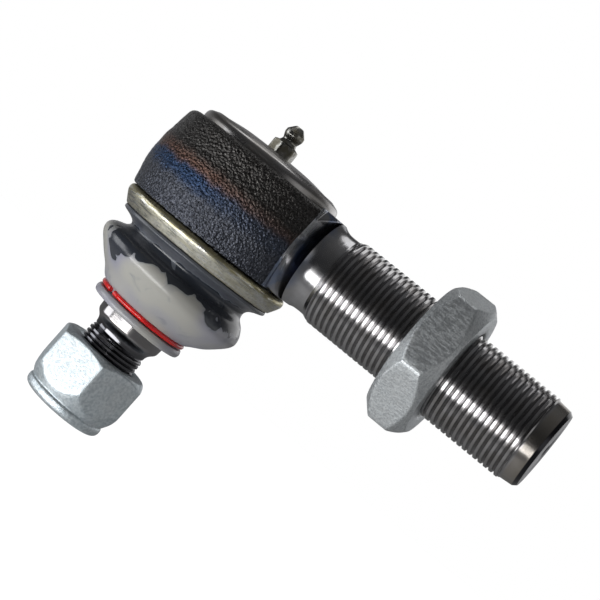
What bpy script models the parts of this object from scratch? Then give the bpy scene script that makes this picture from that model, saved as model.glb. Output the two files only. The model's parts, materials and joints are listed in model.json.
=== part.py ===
"""Tie rod end with a threaded shank: a ball stud in a forged socket, sealed by a boot and held down by a cap.

Frame, in metres: +Z is the socket's axis and points out of the cap, +X is the shank's axis and points to
its free end, and the origin is where the two axes cross. The stud hangs towards -Z and leans a little.
"""

import math

import bmesh
import bpy
from mathutils import Matrix, Vector

# ---------------------------------------------------------------- driving sizes, in metres
RUNNING_SEGMENTS = 40  # flats round a piece that another turns on
PLAIN_SEGMENTS = 30  # flats round the other turned pieces
SMALL_SEGMENTS = 16  # flats round the grease nipple's pieces
ARC_STEP = math.radians(7.5)  # step along a spherical profile

RUN_CLEARANCE = 0.00008  # radial, between pieces that turn on each other
BALL_CLEARANCE = 0.00010  # radial, between the ball and its seats
GAP = 0.0003  # between pieces that touch

BALL_RADIUS = 0.0170
BALL_DROP = 0.0040  # the ball's centre lies this far below the shank's axis
BALL_FLAT = 0.0100  # the ball's top is cut off at this height above its centre
STUD_TILT = math.radians(2.9)  # how far the stud leans at rest
SWING = math.radians(20.0)  # the stud's swing each way from the socket's axis

NECK_RADIUS = 0.00975
NECK_END = 0.0220  # distances along the stud are from the ball's centre
TAPER_START = 0.0260
TAPER_END = 0.0482
TAPER_LARGE_RADIUS = 0.0130
TAPER_PER_LENGTH = 0.0625  # fall in radius for each unit of length
STUD_RELIEF_DEPTH = 0.00075
STUD_RELIEF_END = 0.0528
STUD_THREAD_RADIUS = 0.00985
STUD_LENGTH = 0.0794
STUD_CHAMFER = 0.0010

SEAT_WALL = 0.0055
SEAT_TOP = 0.0110  # top of the upper seat above the ball's centre
SEAT_UNDERCUT = 0.0060  # the lower seat stops this far above the ball's lowest point
SOCKET_WALL = 0.0087
SOCKET_FLOOR = 0.0060  # height of the socket's mouth, from the seat's floor to the skirt's end
SKIRT_WALL = 0.0042
SHOULDER_HEIGHT = 0.0144  # top shoulder of the forging above the shank's axis
RING_SHOULDER_RISE = 0.0006  # bottom shoulder of the forging above the socket's floor

CAP_SEAT_HEIGHT = 0.0143
CAP_EDGE = 0.0016
CAP_RISE = 0.0032
CAP_THICKNESS = 0.0023
LIP_WALL = 0.0013
SEAL_WIRE = 0.0007

PRESSURE_RING_THICKNESS = 0.0020
PRESSURE_RING_WIDTH = 0.0090
SPRING_WIRE = 0.0012
SPRING_TURNS = 2.2
SPRING_TAPER = 0.0050

SHANK_RADIUS = 0.01485
SHANK_LENGTH = 0.1190
SHANK_LEAD_LENGTH = 0.0055  # plain end beyond the thread
SHANK_LEAD_DEPTH = 0.0006  # the plain end is this much smaller in radius than the thread
SHANK_END_BEVEL = 0.0012
SHANK_END_FACE_WALL = 0.0020  # the end face is this much smaller in radius than the thread
SHANK_RELIEF_DEPTH = 0.00105  # the neck is this much smaller in radius than the thread
SHANK_NECK_GAP = 0.0017  # from the forging's side to the neck's start
SHANK_NECK_LENGTH = 0.0064
SHANK_ROOT_HEIGHT = 0.0048  # the root is this much larger in radius than the neck
ROOT_FACE_RUN = 0.0078  # the forging's side is faced off this far before the neck's start

JAM_NUT_WALL = 0.0079  # from the thread to a flat
JAM_NUT_HEIGHT = 0.0150
JAM_NUT_PLACE = 0.0763  # middle of the nut, along the shank
JAM_NUT_FACE_WIDTH = 0.00665  # from the thread to the chamfer
JAM_NUT_CHAMFER_SLOPE = 0.93
JAM_NUT_TURN = math.radians(11.8)

STUD_NUT_WALL = 0.00515  # from the thread to a flat
STUD_NUT_HEIGHT = 0.0222
STUD_NUT_PLACE = 0.0574  # bearing face, along the stud
STUD_NUT_HEX_HEIGHT = 0.0166
STUD_NUT_COLLAR_WALL = 0.00495
STUD_NUT_TURN = math.radians(-9.0)
INSERT_WALL = 0.0024
INSERT_HEIGHT = 0.0036
CRIMP_LIP = 0.0010

NIPPLE_FLATS = 0.0080
NIPPLE_HEX_HEIGHT = 0.0034
NIPPLE_NECK_RADIUS = 0.0025
NIPPLE_HEAD_RADIUS = 0.00325
NIPPLE_HEIGHT = 0.0104
NIPPLE_THREAD_RADIUS = 0.0030
NIPPLE_THREAD_LENGTH = 0.0050
NIPPLE_BORE_RADIUS = 0.0014
NIPPLE_MOUTH_RADIUS = 0.0008
NIPPLE_TURN = math.radians(26.8)
CHECK_BALL_RADIUS = 0.0012
NIPPLE_SPRING_WIRE = 0.0002
NIPPLE_SPRING_TURNS = 7

BOOT_WALL = 0.0017
BOOT_LIP_WALL = 0.0039
BOOT_LIP_HEIGHT = 0.0026
BOOT_LIP_END = 0.0444  # lower face of the boot's lip, along the stud
CLAMP_RING_REACH = 0.0050  # the ring's outer radius beyond the skirt
CLAMP_RING_WALL = 0.0012
CLAMP_RING_HEIGHT = 0.0058
RETAINING_WIRE = 0.00078
RETAINING_GAP = math.radians(8.0)
RETAINING_TURN = math.radians(-122.0)

# ---------------------------------------------------------------- sizes that follow
BALL_Z = -BALL_DROP
SEAT_DEPTH = BALL_RADIUS - SEAT_UNDERCUT
SEAT_BALL_RADIUS = BALL_RADIUS + BALL_CLEARANCE
BORE_RADIUS = BALL_RADIUS + SEAT_WALL + GAP
SEAT_RADIUS = BORE_RADIUS - GAP
FORGING_RADIUS = BORE_RADIUS + SOCKET_WALL
FLOOR_Z = BALL_Z - SEAT_DEPTH - GAP
SKIRT_Z = FLOOR_Z - SOCKET_FLOOR
RING_SHOULDER_DEPTH = -FLOOR_Z - RING_SHOULDER_RISE
NECK_REACH = NECK_RADIUS / math.cos(SWING) + GAP * 4


def swung_neck(depth):
    """Reach of the neck's side from the socket's axis at full swing, this far below the ball's centre."""
    return depth * math.tan(SWING) + NECK_REACH


MOUTH_TOP_RADIUS = swung_neck(SEAT_DEPTH + GAP) + 0.0010
MOUTH_RADIUS = swung_neck(-(SKIRT_Z - BALL_Z)) + 0.0026
SKIRT_RADIUS = MOUTH_RADIUS + SKIRT_WALL
CLAMP_RING_RADIUS = SKIRT_RADIUS + CLAMP_RING_REACH
CAP_RADIUS = BORE_RADIUS + 0.0010
LIP_INNER_RADIUS = CAP_RADIUS + GAP
LIP_RADIUS = LIP_INNER_RADIUS + LIP_WALL
CAP_BOTTOM_Z = CAP_SEAT_HEIGHT + GAP
CAP_EDGE_Z = CAP_BOTTOM_Z + CAP_EDGE
CAP_TOP_Z = CAP_EDGE_Z + CAP_RISE
SHANK_NECK_RADIUS = SHANK_RADIUS - SHANK_RELIEF_DEPTH
SHANK_NECK_START = FORGING_RADIUS + SHANK_NECK_GAP
SHANK_THREAD_START = SHANK_NECK_START + SHANK_NECK_LENGTH
SHANK_ROOT_RADIUS = SHANK_NECK_RADIUS + SHANK_ROOT_HEIGHT
ROOT_FACE_X = SHANK_NECK_START - ROOT_FACE_RUN
JAM_NUT_BORE = SHANK_RADIUS + RUN_CLEARANCE
JAM_NUT_FLATS = 2 * (SHANK_RADIUS + JAM_NUT_WALL)
JAM_NUT_FACE_RADIUS = SHANK_RADIUS + JAM_NUT_FACE_WIDTH
STUD_NUT_BORE = STUD_THREAD_RADIUS + RUN_CLEARANCE
STUD_NUT_FLATS = 2 * (STUD_THREAD_RADIUS + STUD_NUT_WALL)
STUD_NUT_COLLAR_RADIUS = STUD_THREAD_RADIUS + STUD_NUT_COLLAR_WALL
STUD_RELIEF_RADIUS = STUD_THREAD_RADIUS - STUD_RELIEF_DEPTH


# ---------------------------------------------------------------- helpers
def finish(name, color, roughness, metallic):
    """A plain Principled BSDF material."""
    material = bpy.data.materials.new(name)
    material.use_nodes = True
    shader = material.node_tree.nodes["Principled BSDF"]
    shader.inputs["Base Color"].default_value = (*color, 1.0)
    shader.inputs["Roughness"].default_value = roughness
    shader.inputs["Metallic"].default_value = metallic
    return material


def add_object(name, mesh, material):
    """Links a new object for the mesh and shades it smooth, with its corners kept sharp."""
    mesh.materials.append(material)
    mesh.shade_smooth()
    mesh.set_sharp_from_angle(angle=math.radians(30))
    piece = bpy.data.objects.new(name, mesh)
    bpy.context.scene.collection.objects.link(piece)
    return piece


def mesh_from(shape, name):
    """Closes a bmesh into a mesh, with its doubles merged and its faces pointing out."""
    bmesh.ops.remove_doubles(shape, verts=shape.verts, dist=1e-7)
    bmesh.ops.recalc_face_normals(shape, faces=shape.faces)
    mesh = bpy.data.meshes.new(name)
    shape.to_mesh(mesh)
    shape.free()
    return mesh


def turned(name, profile, material, closed=True, segments=PLAIN_SEGMENTS):
    """A solid of revolution about Z. The profile is a list of (radius, height).

    A closed profile is a loop clear of the axis. An open one starts and ends on the axis.
    """
    shape = bmesh.new()
    points = [shape.verts.new((radius, 0.0, height)) for radius, height in profile]
    edges = [shape.edges.new(pair) for pair in zip(points, points[1:])]
    if closed:
        edges.append(shape.edges.new((points[-1], points[0])))
    bmesh.ops.spin(
        shape,
        geom=points + edges,
        cent=(0.0, 0.0, 0.0),
        axis=(0.0, 0.0, 1.0),
        angle=2 * math.pi,
        steps=segments,
        use_merge=True,
        use_duplicate=False,
    )
    return add_object(name, mesh_from(shape, name), material)


def hex_prism(name, flats, bottom, top, turn, material):
    """An upright hexagonal prism about Z."""
    shape = bmesh.new()
    bmesh.ops.create_cone(
        shape,
        cap_ends=True,
        segments=6,
        radius1=flats / math.sqrt(3),
        radius2=flats / math.sqrt(3),
        depth=top - bottom,
        matrix=Matrix.Translation((0, 0, (top + bottom) / 2)) @ Matrix.Rotation(turn, 4, "Z"),
    )
    # create_cone puts its first corner on +Y
    shape.transform(Matrix.Rotation(-math.pi / 2, 4, "Z"))
    return add_object(name, mesh_from(shape, name), material)


def box(name, low, high, material):
    """A cuboid between two corners."""
    shape = bmesh.new()
    bmesh.ops.create_cube(shape, size=1.0)
    size = Vector(high) - Vector(low)
    middle = (Vector(high) + Vector(low)) / 2
    shape.transform(Matrix.Translation(middle) @ Matrix.Diagonal((*size, 1.0)))
    return add_object(name, mesh_from(shape, name), material)


def helper(piece):
    """Marks a piece as a cutter or a blank, which is no part of the object."""
    piece.hide_render = True
    piece.display_type = "WIRE"
    return piece


def combine(piece, other, operation):
    """Adds an exact Boolean to the piece."""
    modifier = piece.modifiers.new(operation.title(), "BOOLEAN")
    modifier.operation = operation
    modifier.solver = "EXACT"
    modifier.object = helper(other)
    return piece


def place(piece, matrix):
    """Puts a piece and its Boolean helpers where the matrix says."""
    piece.matrix_world = matrix
    for modifier in piece.modifiers:
        modifier.object.matrix_world = matrix
    return piece


def arc(centre, radius, first, last, steps):
    """Points on an arc in the (radius, height) plane. Angles are from the outward direction, towards +Z."""
    angles = [first + (last - first) * i / steps for i in range(steps + 1)]
    return [
        (centre[0] + radius * math.cos(angle), centre[1] + radius * math.sin(angle)) for angle in angles
    ]


def coil(name, path, turns, steps, wire_radius, sides, material):
    """A closed round wire along a coil. path(share) is its (radius, height) at a share of the coil."""
    centres = []
    for i in range(steps + 1):
        share = i / steps
        radius, height = path(share)
        angle = 2 * math.pi * turns * share
        centres.append(Vector((radius * math.cos(angle), radius * math.sin(angle), height)))
    shape = bmesh.new()
    rings = []
    for i, centre in enumerate(centres):
        ahead = (centres[min(i + 1, steps)] - centres[max(i - 1, 0)]).normalized()
        outward = Vector((centre.x, centre.y, 0.0)).normalized()
        across = ahead.cross(outward).normalized()
        outward = across.cross(ahead)
        rings.append(
            [
                shape.verts.new(
                    centre
                    + wire_radius * math.cos(2 * math.pi * k / sides) * outward
                    + wire_radius * math.sin(2 * math.pi * k / sides) * across
                )
                for k in range(sides)
            ]
        )
    for near, far in zip(rings, rings[1:]):
        for k in range(sides):
            shape.faces.new((near[k], near[(k + 1) % sides], far[(k + 1) % sides], far[k]))
    shape.faces.new(reversed(rings[0]))
    shape.faces.new(rings[-1])
    return add_object(name, mesh_from(shape, name), material)


def smooth_share(value, start, end):
    """0 at start, 1 at end, with level ends."""
    share = min(max((value - start) / (end - start), 0.0), 1.0)
    return share * share * (3 - 2 * share)


def lean(piece, start, end):
    """Bends a piece below the ball so that its lower end leans with the stud. start and end are heights."""
    centre = Vector((0.0, 0.0, BALL_Z))
    for vertex in piece.data.vertices:
        share = smooth_share(vertex.co.z, start, end)
        turn = Matrix.Rotation(STUD_TILT * share, 3, "Y")
        vertex.co = centre + turn @ (vertex.co - centre)
    piece.data.update()
    return piece


# ---------------------------------------------------------------- start
for leftover in list(bpy.data.objects):
    bpy.data.objects.remove(leftover, do_unlink=True)

black_forging = finish("black_forging", (0.020, 0.021, 0.026), 0.42, 0.6)
bare_steel = finish("bare_steel", (0.42, 0.41, 0.40), 0.30, 1.0)
bright_zinc = finish("bright_zinc", (0.66, 0.69, 0.70), 0.32, 1.0)
yellow_zinc = finish("yellow_zinc", (0.62, 0.55, 0.30), 0.30, 1.0)
spring_steel = finish("spring_steel", (0.30, 0.30, 0.31), 0.35, 1.0)
bearing_plastic = finish("bearing_plastic", (0.75, 0.74, 0.68), 0.45, 0.0)
grey_rubber = finish("grey_rubber", (0.38, 0.39, 0.40), 0.40, 0.0)
red_plastic = finish("red_plastic", (0.62, 0.02, 0.02), 0.25, 0.0)
nylon = finish("nylon", (0.80, 0.80, 0.76), 0.40, 0.0)
black_seal = finish("black_seal", (0.02, 0.02, 0.02), 0.60, 0.0)

along_stud = Matrix.Translation((0, 0, BALL_Z)) @ Matrix.Rotation(STUD_TILT, 4, "Y")
along_shank = Matrix.Rotation(math.pi / 2, 4, "Y")

# ---------------------------------------------------------------- socket housing
# Lower seat and housing floor share one cone, so the seat drops into it.
SEAT_CONE_TOP = BALL_Z - 0.0058
SEAT_CONE_RUN = 0.0040

outer_side = [
    (SKIRT_RADIUS, SKIRT_Z),
    (SKIRT_RADIUS, -RING_SHOULDER_DEPTH),
    (FORGING_RADIUS - 0.0013, -RING_SHOULDER_DEPTH),
    (FORGING_RADIUS - 0.0008, -RING_SHOULDER_DEPTH + 0.0050),
    (FORGING_RADIUS - 0.0002, -0.0055),
    (FORGING_RADIUS, -0.0022),
    (FORGING_RADIUS - 0.0002, 0.0010),
    (FORGING_RADIUS - 0.0008, 0.0048),
    (FORGING_RADIUS - 0.0017, 0.0090),
    (FORGING_RADIUS - 0.0022, SHOULDER_HEIGHT - 0.0024),
    (FORGING_RADIUS - 0.0029, SHOULDER_HEIGHT - 0.0009),
    (FORGING_RADIUS - 0.0042, SHOULDER_HEIGHT),
]
lip_side = [
    (LIP_RADIUS, SHOULDER_HEIGHT),
    (LIP_RADIUS, CAP_EDGE_Z),
    (LIP_RADIUS - 0.0004, CAP_EDGE_Z + 0.0007),
    (LIP_RADIUS - 0.0012, CAP_EDGE_Z + 0.0012),
    (LIP_RADIUS - 0.0030, CAP_EDGE_Z + 0.0019),
    (LIP_RADIUS - 0.0031, CAP_EDGE_Z + 0.0013),
    (LIP_INNER_RADIUS - 0.0004, CAP_EDGE_Z + 0.0006),
    (LIP_INNER_RADIUS, CAP_EDGE_Z),
    (LIP_INNER_RADIUS, CAP_SEAT_HEIGHT),
]
inner_side = [
    (BORE_RADIUS, CAP_SEAT_HEIGHT),
    (BORE_RADIUS, SEAT_CONE_TOP),
    (BORE_RADIUS - SEAT_CONE_RUN, FLOOR_Z),
    (MOUTH_TOP_RADIUS, FLOOR_Z),
    (MOUTH_TOP_RADIUS, FLOOR_Z - 0.0006),
    (MOUTH_RADIUS, SKIRT_Z),
]
socket_housing = turned("socket_housing", outer_side + lip_side + inner_side, black_forging)

# The shank is turned about Z here and laid along X.
ROOT_START = ROOT_FACE_X - 0.0014
shank_profile = [
    (0.0, ROOT_START),
    (SHANK_ROOT_RADIUS, ROOT_START),
    (SHANK_ROOT_RADIUS, SHANK_NECK_START - 0.0074),
    (SHANK_NECK_RADIUS + 0.0034, SHANK_NECK_START - 0.0061),
    (SHANK_NECK_RADIUS + 0.0021, SHANK_NECK_START - 0.0050),
    (SHANK_NECK_RADIUS + 0.0011, SHANK_NECK_START - 0.0036),
    (SHANK_NECK_RADIUS + 0.0004, SHANK_NECK_START - 0.0018),
    (SHANK_NECK_RADIUS, SHANK_NECK_START),
    (SHANK_NECK_RADIUS, SHANK_THREAD_START - (SHANK_RADIUS - SHANK_NECK_RADIUS)),
    (SHANK_RADIUS, SHANK_THREAD_START),
    (SHANK_RADIUS, SHANK_LENGTH - SHANK_LEAD_LENGTH - 0.0006),
    (SHANK_RADIUS - SHANK_LEAD_DEPTH, SHANK_LENGTH - SHANK_LEAD_LENGTH),
    (SHANK_RADIUS - SHANK_LEAD_DEPTH - 0.0004, SHANK_LENGTH - SHANK_END_BEVEL),
    (SHANK_RADIUS - SHANK_END_FACE_WALL, SHANK_LENGTH),
    (0.0, SHANK_LENGTH),
]
shank = turned("shank_blank", shank_profile, bare_steel, closed=False, segments=RUNNING_SEGMENTS)
shank.matrix_world = along_shank
trims = (
    ("root_trim_top", SHOULDER_HEIGHT + 0.0009, SHANK_ROOT_RADIUS * 2),
    ("root_trim_bottom", -SHANK_ROOT_RADIUS * 2, -RING_SHOULDER_DEPTH + 0.0002),
)
for trim_name, low, high in trims:
    trim = box(
        trim_name,
        (ROOT_START - 0.001, -SHANK_ROOT_RADIUS * 2, low),
        (SHANK_NECK_START - 0.0030, SHANK_ROOT_RADIUS * 2, high),
        bare_steel,
    )
    combine(shank, trim, "DIFFERENCE")
root_face = box(
    "root_face",
    (ROOT_FACE_X, -FORGING_RADIUS, -RING_SHOULDER_DEPTH - 0.0001),
    (FORGING_RADIUS + 0.0010, FORGING_RADIUS, SHOULDER_HEIGHT + 0.0001),
    black_forging,
)
combine(socket_housing, root_face, "DIFFERENCE")
combine(socket_housing, shank, "UNION")

# ---------------------------------------------------------------- cap, its seal and the grease nipple
NIPPLE_SEAT_RADIUS = NIPPLE_FLATS / math.sqrt(3) + 0.0004
NIPPLE_HOLE_RADIUS = NIPPLE_THREAD_RADIUS + GAP
DOME_EDGE_RADIUS = LIP_RADIUS - 0.0031 - GAP * 1.3
dome_drop = CAP_TOP_Z - (CAP_EDGE_Z + 0.0016)


def dome(radius):
    """Height of the cap's outer surface: a flat top that falls away as the square of the radius."""
    share = max(radius - NIPPLE_SEAT_RADIUS, 0.0) / (DOME_EDGE_RADIUS - NIPPLE_SEAT_RADIUS)
    return CAP_TOP_Z - dome_drop * share * share


dome_radii = [NIPPLE_SEAT_RADIUS + (DOME_EDGE_RADIUS - NIPPLE_SEAT_RADIUS) * i / 5 for i in range(6)]
cap_profile = (
    [(NIPPLE_HOLE_RADIUS, CAP_TOP_Z)]
    + [(radius, dome(radius)) for radius in dome_radii]
    + [
        (DOME_EDGE_RADIUS, CAP_EDGE_Z + 0.0010),
        (LIP_INNER_RADIUS - 0.0007, CAP_EDGE_Z + 0.0001),
        (CAP_RADIUS, CAP_EDGE_Z - 0.0002),
        (CAP_RADIUS, CAP_BOTTOM_Z),
        (DOME_EDGE_RADIUS, CAP_BOTTOM_Z),
    ]
    + [(radius - 0.0015, dome(radius) - CAP_THICKNESS) for radius in reversed(dome_radii[1:5])]
    + [(NIPPLE_HOLE_RADIUS, CAP_TOP_Z - CAP_THICKNESS)]
)
turned("end_cap", cap_profile, bare_steel)

SEAL_RADIUS = BORE_RADIUS - GAP - SEAL_WIRE
SEAL_Z = CAP_BOTTOM_Z - GAP - SEAL_WIRE
seal_profile = arc((SEAL_RADIUS, SEAL_Z), SEAL_WIRE, 0.0, 2 * math.pi * 5 / 6, 5)
turned("cap_seal_ring", seal_profile, black_seal)

nipple_profile = [
    (0.0, CAP_TOP_Z - NIPPLE_THREAD_LENGTH),
    (NIPPLE_THREAD_RADIUS - 0.0004, CAP_TOP_Z - NIPPLE_THREAD_LENGTH),
    (NIPPLE_THREAD_RADIUS, CAP_TOP_Z - NIPPLE_THREAD_LENGTH + 0.0004),
    (NIPPLE_THREAD_RADIUS, CAP_TOP_Z + GAP),
    (NIPPLE_FLATS / 2 - 0.0003, CAP_TOP_Z + GAP),
    (NIPPLE_FLATS / 2 - 0.0003, CAP_TOP_Z + GAP + NIPPLE_HEX_HEIGHT),
    (NIPPLE_NECK_RADIUS + 0.0006, CAP_TOP_Z + NIPPLE_HEX_HEIGHT + 0.0006),
    (NIPPLE_NECK_RADIUS, CAP_TOP_Z + NIPPLE_HEX_HEIGHT + 0.0013),
    (NIPPLE_NECK_RADIUS, CAP_TOP_Z + NIPPLE_HEX_HEIGHT + 0.0022),
    (NIPPLE_HEAD_RADIUS - 0.0002, CAP_TOP_Z + NIPPLE_HEX_HEIGHT + 0.0032),
    (NIPPLE_HEAD_RADIUS, CAP_TOP_Z + NIPPLE_HEX_HEIGHT + 0.0039),
    (NIPPLE_HEAD_RADIUS - 0.0001, CAP_TOP_Z + NIPPLE_HEX_HEIGHT + 0.0046),
    (NIPPLE_HEAD_RADIUS - 0.0011, CAP_TOP_Z + NIPPLE_HEIGHT - 0.0008),
    (NIPPLE_MOUTH_RADIUS + 0.0006, CAP_TOP_Z + NIPPLE_HEIGHT),
    (0.0, CAP_TOP_Z + NIPPLE_HEIGHT),
]
nipple = turned("grease_nipple_body", nipple_profile, bare_steel, closed=False, segments=SMALL_SEGMENTS)
nipple_hex = hex_prism(
    "nipple_hex",
    NIPPLE_FLATS,
    CAP_TOP_Z + GAP,
    CAP_TOP_Z + GAP + NIPPLE_HEX_HEIGHT - 0.0002,
    NIPPLE_TURN,
    bare_steel,
)
combine(nipple, nipple_hex, "UNION")
CHECK_BALL_Z = CAP_TOP_Z + NIPPLE_HEIGHT - 0.0012 - CHECK_BALL_RADIUS
NIPPLE_FOOT_Z = CAP_TOP_Z - NIPPLE_THREAD_LENGTH
passage_profile = [
    (0.0, NIPPLE_FOOT_Z - 0.001),
    (NIPPLE_MOUTH_RADIUS, NIPPLE_FOOT_Z - 0.001),
    (NIPPLE_MOUTH_RADIUS, NIPPLE_FOOT_Z + 0.0008),
    (NIPPLE_BORE_RADIUS, NIPPLE_FOOT_Z + 0.0008),
    (NIPPLE_BORE_RADIUS, CHECK_BALL_Z + 0.0002),
    (NIPPLE_MOUTH_RADIUS, CHECK_BALL_Z + CHECK_BALL_RADIUS * 0.95),
    (NIPPLE_MOUTH_RADIUS, CAP_TOP_Z + NIPPLE_HEIGHT + 0.001),
    (0.0, CAP_TOP_Z + NIPPLE_HEIGHT + 0.001),
]
passage = turned("nipple_passage", passage_profile, bare_steel, closed=False, segments=SMALL_SEGMENTS)
combine(nipple, passage, "DIFFERENCE")

check_profile = arc((0.0, 0.0), CHECK_BALL_RADIUS, -math.pi / 2, math.pi / 2, 6)
check_ball = turned("nipple_check_ball", check_profile, spring_steel, closed=False, segments=SMALL_SEGMENTS)
check_ball.location = (0.0, 0.0, CHECK_BALL_Z - 0.0001)

SPRING_FOOT_Z = NIPPLE_FOOT_Z + 0.0008 + 0.0001 + NIPPLE_SPRING_WIRE
SPRING_HEAD_Z = CHECK_BALL_Z - CHECK_BALL_RADIUS - 0.0002 - NIPPLE_SPRING_WIRE
SPRING_COIL_RADIUS = NIPPLE_BORE_RADIUS - NIPPLE_SPRING_WIRE - 0.0002


def nipple_spring_path(share):
    """An even coil from the nipple's foot to the check ball."""
    return SPRING_COIL_RADIUS, SPRING_FOOT_Z + (SPRING_HEAD_Z - SPRING_FOOT_Z) * share


coil(
    "nipple_spring",
    nipple_spring_path,
    NIPPLE_SPRING_TURNS,
    NIPPLE_SPRING_TURNS * 8,
    NIPPLE_SPRING_WIRE,
    4,
    spring_steel,
)

# ---------------------------------------------------------------- seats, pressure ring and preload spring
UPPER_SEAT_SPLIT = BALL_Z + GAP
LOWER_SEAT_SPLIT = BALL_Z - GAP
SEAT_TOP_Z = BALL_Z + SEAT_TOP
SEAT_BOTTOM_Z = BALL_Z - SEAT_DEPTH
# The lower seat ends where the swung neck would meet it.
seat_lower_angle = SWING + math.asin(NECK_RADIUS / BALL_RADIUS) + math.radians(1.5)
upper_first = math.asin(GAP / SEAT_BALL_RADIUS)
upper_last = math.asin(BALL_FLAT / SEAT_BALL_RADIUS)
upper_steps = max(4, math.ceil((upper_last - upper_first) / ARC_STEP))
upper_seat_profile = arc((0.0, BALL_Z), SEAT_BALL_RADIUS, upper_first, upper_last, upper_steps) + [
    (SEAT_BALL_RADIUS * math.cos(upper_last), SEAT_TOP_Z),
    (SEAT_RADIUS, SEAT_TOP_Z),
    (SEAT_RADIUS, UPPER_SEAT_SPLIT),
]
turned("upper_bearing_seat", upper_seat_profile, bearing_plastic, segments=RUNNING_SEGMENTS)

lower_last = -(math.pi / 2 - seat_lower_angle)
lower_steps = max(4, math.ceil((-lower_last - upper_first) / ARC_STEP))
lower_seat_profile = arc((0.0, BALL_Z), SEAT_BALL_RADIUS, -upper_first, lower_last, lower_steps) + [
    (swung_neck(SEAT_DEPTH) + 0.0002, SEAT_BOTTOM_Z),
    (BORE_RADIUS - SEAT_CONE_RUN - GAP * 1.2, SEAT_BOTTOM_Z),
    (SEAT_RADIUS, SEAT_CONE_TOP + GAP * 0.6),
    (SEAT_RADIUS, LOWER_SEAT_SPLIT),
]
turned("lower_bearing_seat", lower_seat_profile, bearing_plastic, segments=RUNNING_SEGMENTS)

PRESSURE_RING_Z = SEAT_TOP_Z + GAP
pressure_ring_profile = [
    (SEAT_RADIUS - PRESSURE_RING_WIDTH, PRESSURE_RING_Z),
    (SEAT_RADIUS - 0.0004, PRESSURE_RING_Z),
    (SEAT_RADIUS - 0.0001, PRESSURE_RING_Z + 0.0004),
    (SEAT_RADIUS - 0.0001, PRESSURE_RING_Z + PRESSURE_RING_THICKNESS),
    (SEAT_RADIUS - PRESSURE_RING_WIDTH, PRESSURE_RING_Z + PRESSURE_RING_THICKNESS),
]
turned("pressure_ring", pressure_ring_profile, spring_steel)

SPRING_LARGE_RADIUS = SEAL_RADIUS - SEAL_WIRE - SPRING_WIRE - 0.0010
SPRING_SMALL_RADIUS = SPRING_LARGE_RADIUS - SPRING_TAPER
SPRING_LOW_Z = PRESSURE_RING_Z + PRESSURE_RING_THICKNESS + GAP + SPRING_WIRE
SPRING_HIGH_Z = dome(SPRING_SMALL_RADIUS + SPRING_WIRE + 0.0015) - CAP_THICKNESS - GAP - SPRING_WIRE


def preload_spring_path(share):
    """A conical coil: the radius falls evenly, and the first and last quarter turns lie flat."""
    lying = 0.25 / SPRING_TURNS
    climb = min(max((share - lying) / (1 - 2 * lying), 0.0), 1.0)
    return (
        SPRING_LARGE_RADIUS - SPRING_TAPER * share,
        SPRING_LOW_Z + (SPRING_HIGH_Z - SPRING_LOW_Z) * climb,
    )


coil("preload_spring", preload_spring_path, SPRING_TURNS, 44, SPRING_WIRE, 6, spring_steel)

# ---------------------------------------------------------------- ball stud
ball_top_angle = math.asin(BALL_FLAT / BALL_RADIUS)
ball_neck_angle = -math.acos(NECK_RADIUS / BALL_RADIUS)
ball_steps = math.ceil((ball_top_angle - ball_neck_angle) / ARC_STEP)
TAPER_SMALL_RADIUS = TAPER_LARGE_RADIUS - (TAPER_END - TAPER_START) * TAPER_PER_LENGTH
stud_profile = (
    [(0.0, BALL_FLAT)]
    + arc((0.0, 0.0), BALL_RADIUS, ball_top_angle, ball_neck_angle, ball_steps)
    + [
        (NECK_RADIUS, -NECK_END),
        (TAPER_LARGE_RADIUS - 0.0008, -TAPER_START + 0.0012),
        (TAPER_LARGE_RADIUS, -TAPER_START),
        (TAPER_SMALL_RADIUS, -TAPER_END),
        (TAPER_SMALL_RADIUS - 0.0006, -TAPER_END - 0.0005),
        (STUD_RELIEF_RADIUS + 0.0008, -TAPER_END - 0.0016),
        (STUD_RELIEF_RADIUS, -TAPER_END - 0.0028),
        (STUD_RELIEF_RADIUS, -STUD_RELIEF_END),
        (STUD_THREAD_RADIUS, -STUD_RELIEF_END - (STUD_THREAD_RADIUS - STUD_RELIEF_RADIUS)),
        (STUD_THREAD_RADIUS, -STUD_LENGTH + STUD_CHAMFER),
        (STUD_THREAD_RADIUS - STUD_CHAMFER, -STUD_LENGTH),
        (0.0, -STUD_LENGTH),
    ]
)
ball_stud = turned("ball_stud", stud_profile, bare_steel, closed=False, segments=RUNNING_SEGMENTS)
ball_stud.matrix_world = along_stud

# ---------------------------------------------------------------- nuts
jam_nut = hex_prism("jam_nut", JAM_NUT_FLATS, -JAM_NUT_HEIGHT, JAM_NUT_HEIGHT, 0.0, bright_zinc)
jam_corner = JAM_NUT_FLATS / math.sqrt(3) + 0.0010
jam_chamfer = (jam_corner - JAM_NUT_FACE_RADIUS) * JAM_NUT_CHAMFER_SLOPE
jam_half = JAM_NUT_HEIGHT / 2
thread_mouth = 0.0008
jam_blank_profile = [
    (JAM_NUT_BORE, -jam_half + thread_mouth),
    (JAM_NUT_BORE + thread_mouth, -jam_half),
    (JAM_NUT_FACE_RADIUS, -jam_half),
    (jam_corner, -jam_half + jam_chamfer),
    (jam_corner, jam_half - jam_chamfer),
    (JAM_NUT_FACE_RADIUS, jam_half),
    (JAM_NUT_BORE + thread_mouth, jam_half),
    (JAM_NUT_BORE, jam_half - thread_mouth),
]
jam_blank = turned("jam_nut_blank", jam_blank_profile, bright_zinc, segments=RUNNING_SEGMENTS)
combine(jam_nut, jam_blank, "INTERSECT")
# Turned about Z first, so that a corner lies JAM_NUT_TURN from +Y towards +Z once it is laid along X.
jam_matrix = (
    Matrix.Translation((JAM_NUT_PLACE, 0.0, 0.0))
    @ along_shank
    @ Matrix.Rotation(math.pi / 2 + JAM_NUT_TURN, 4, "Z")
)
place(jam_nut, jam_matrix)

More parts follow.
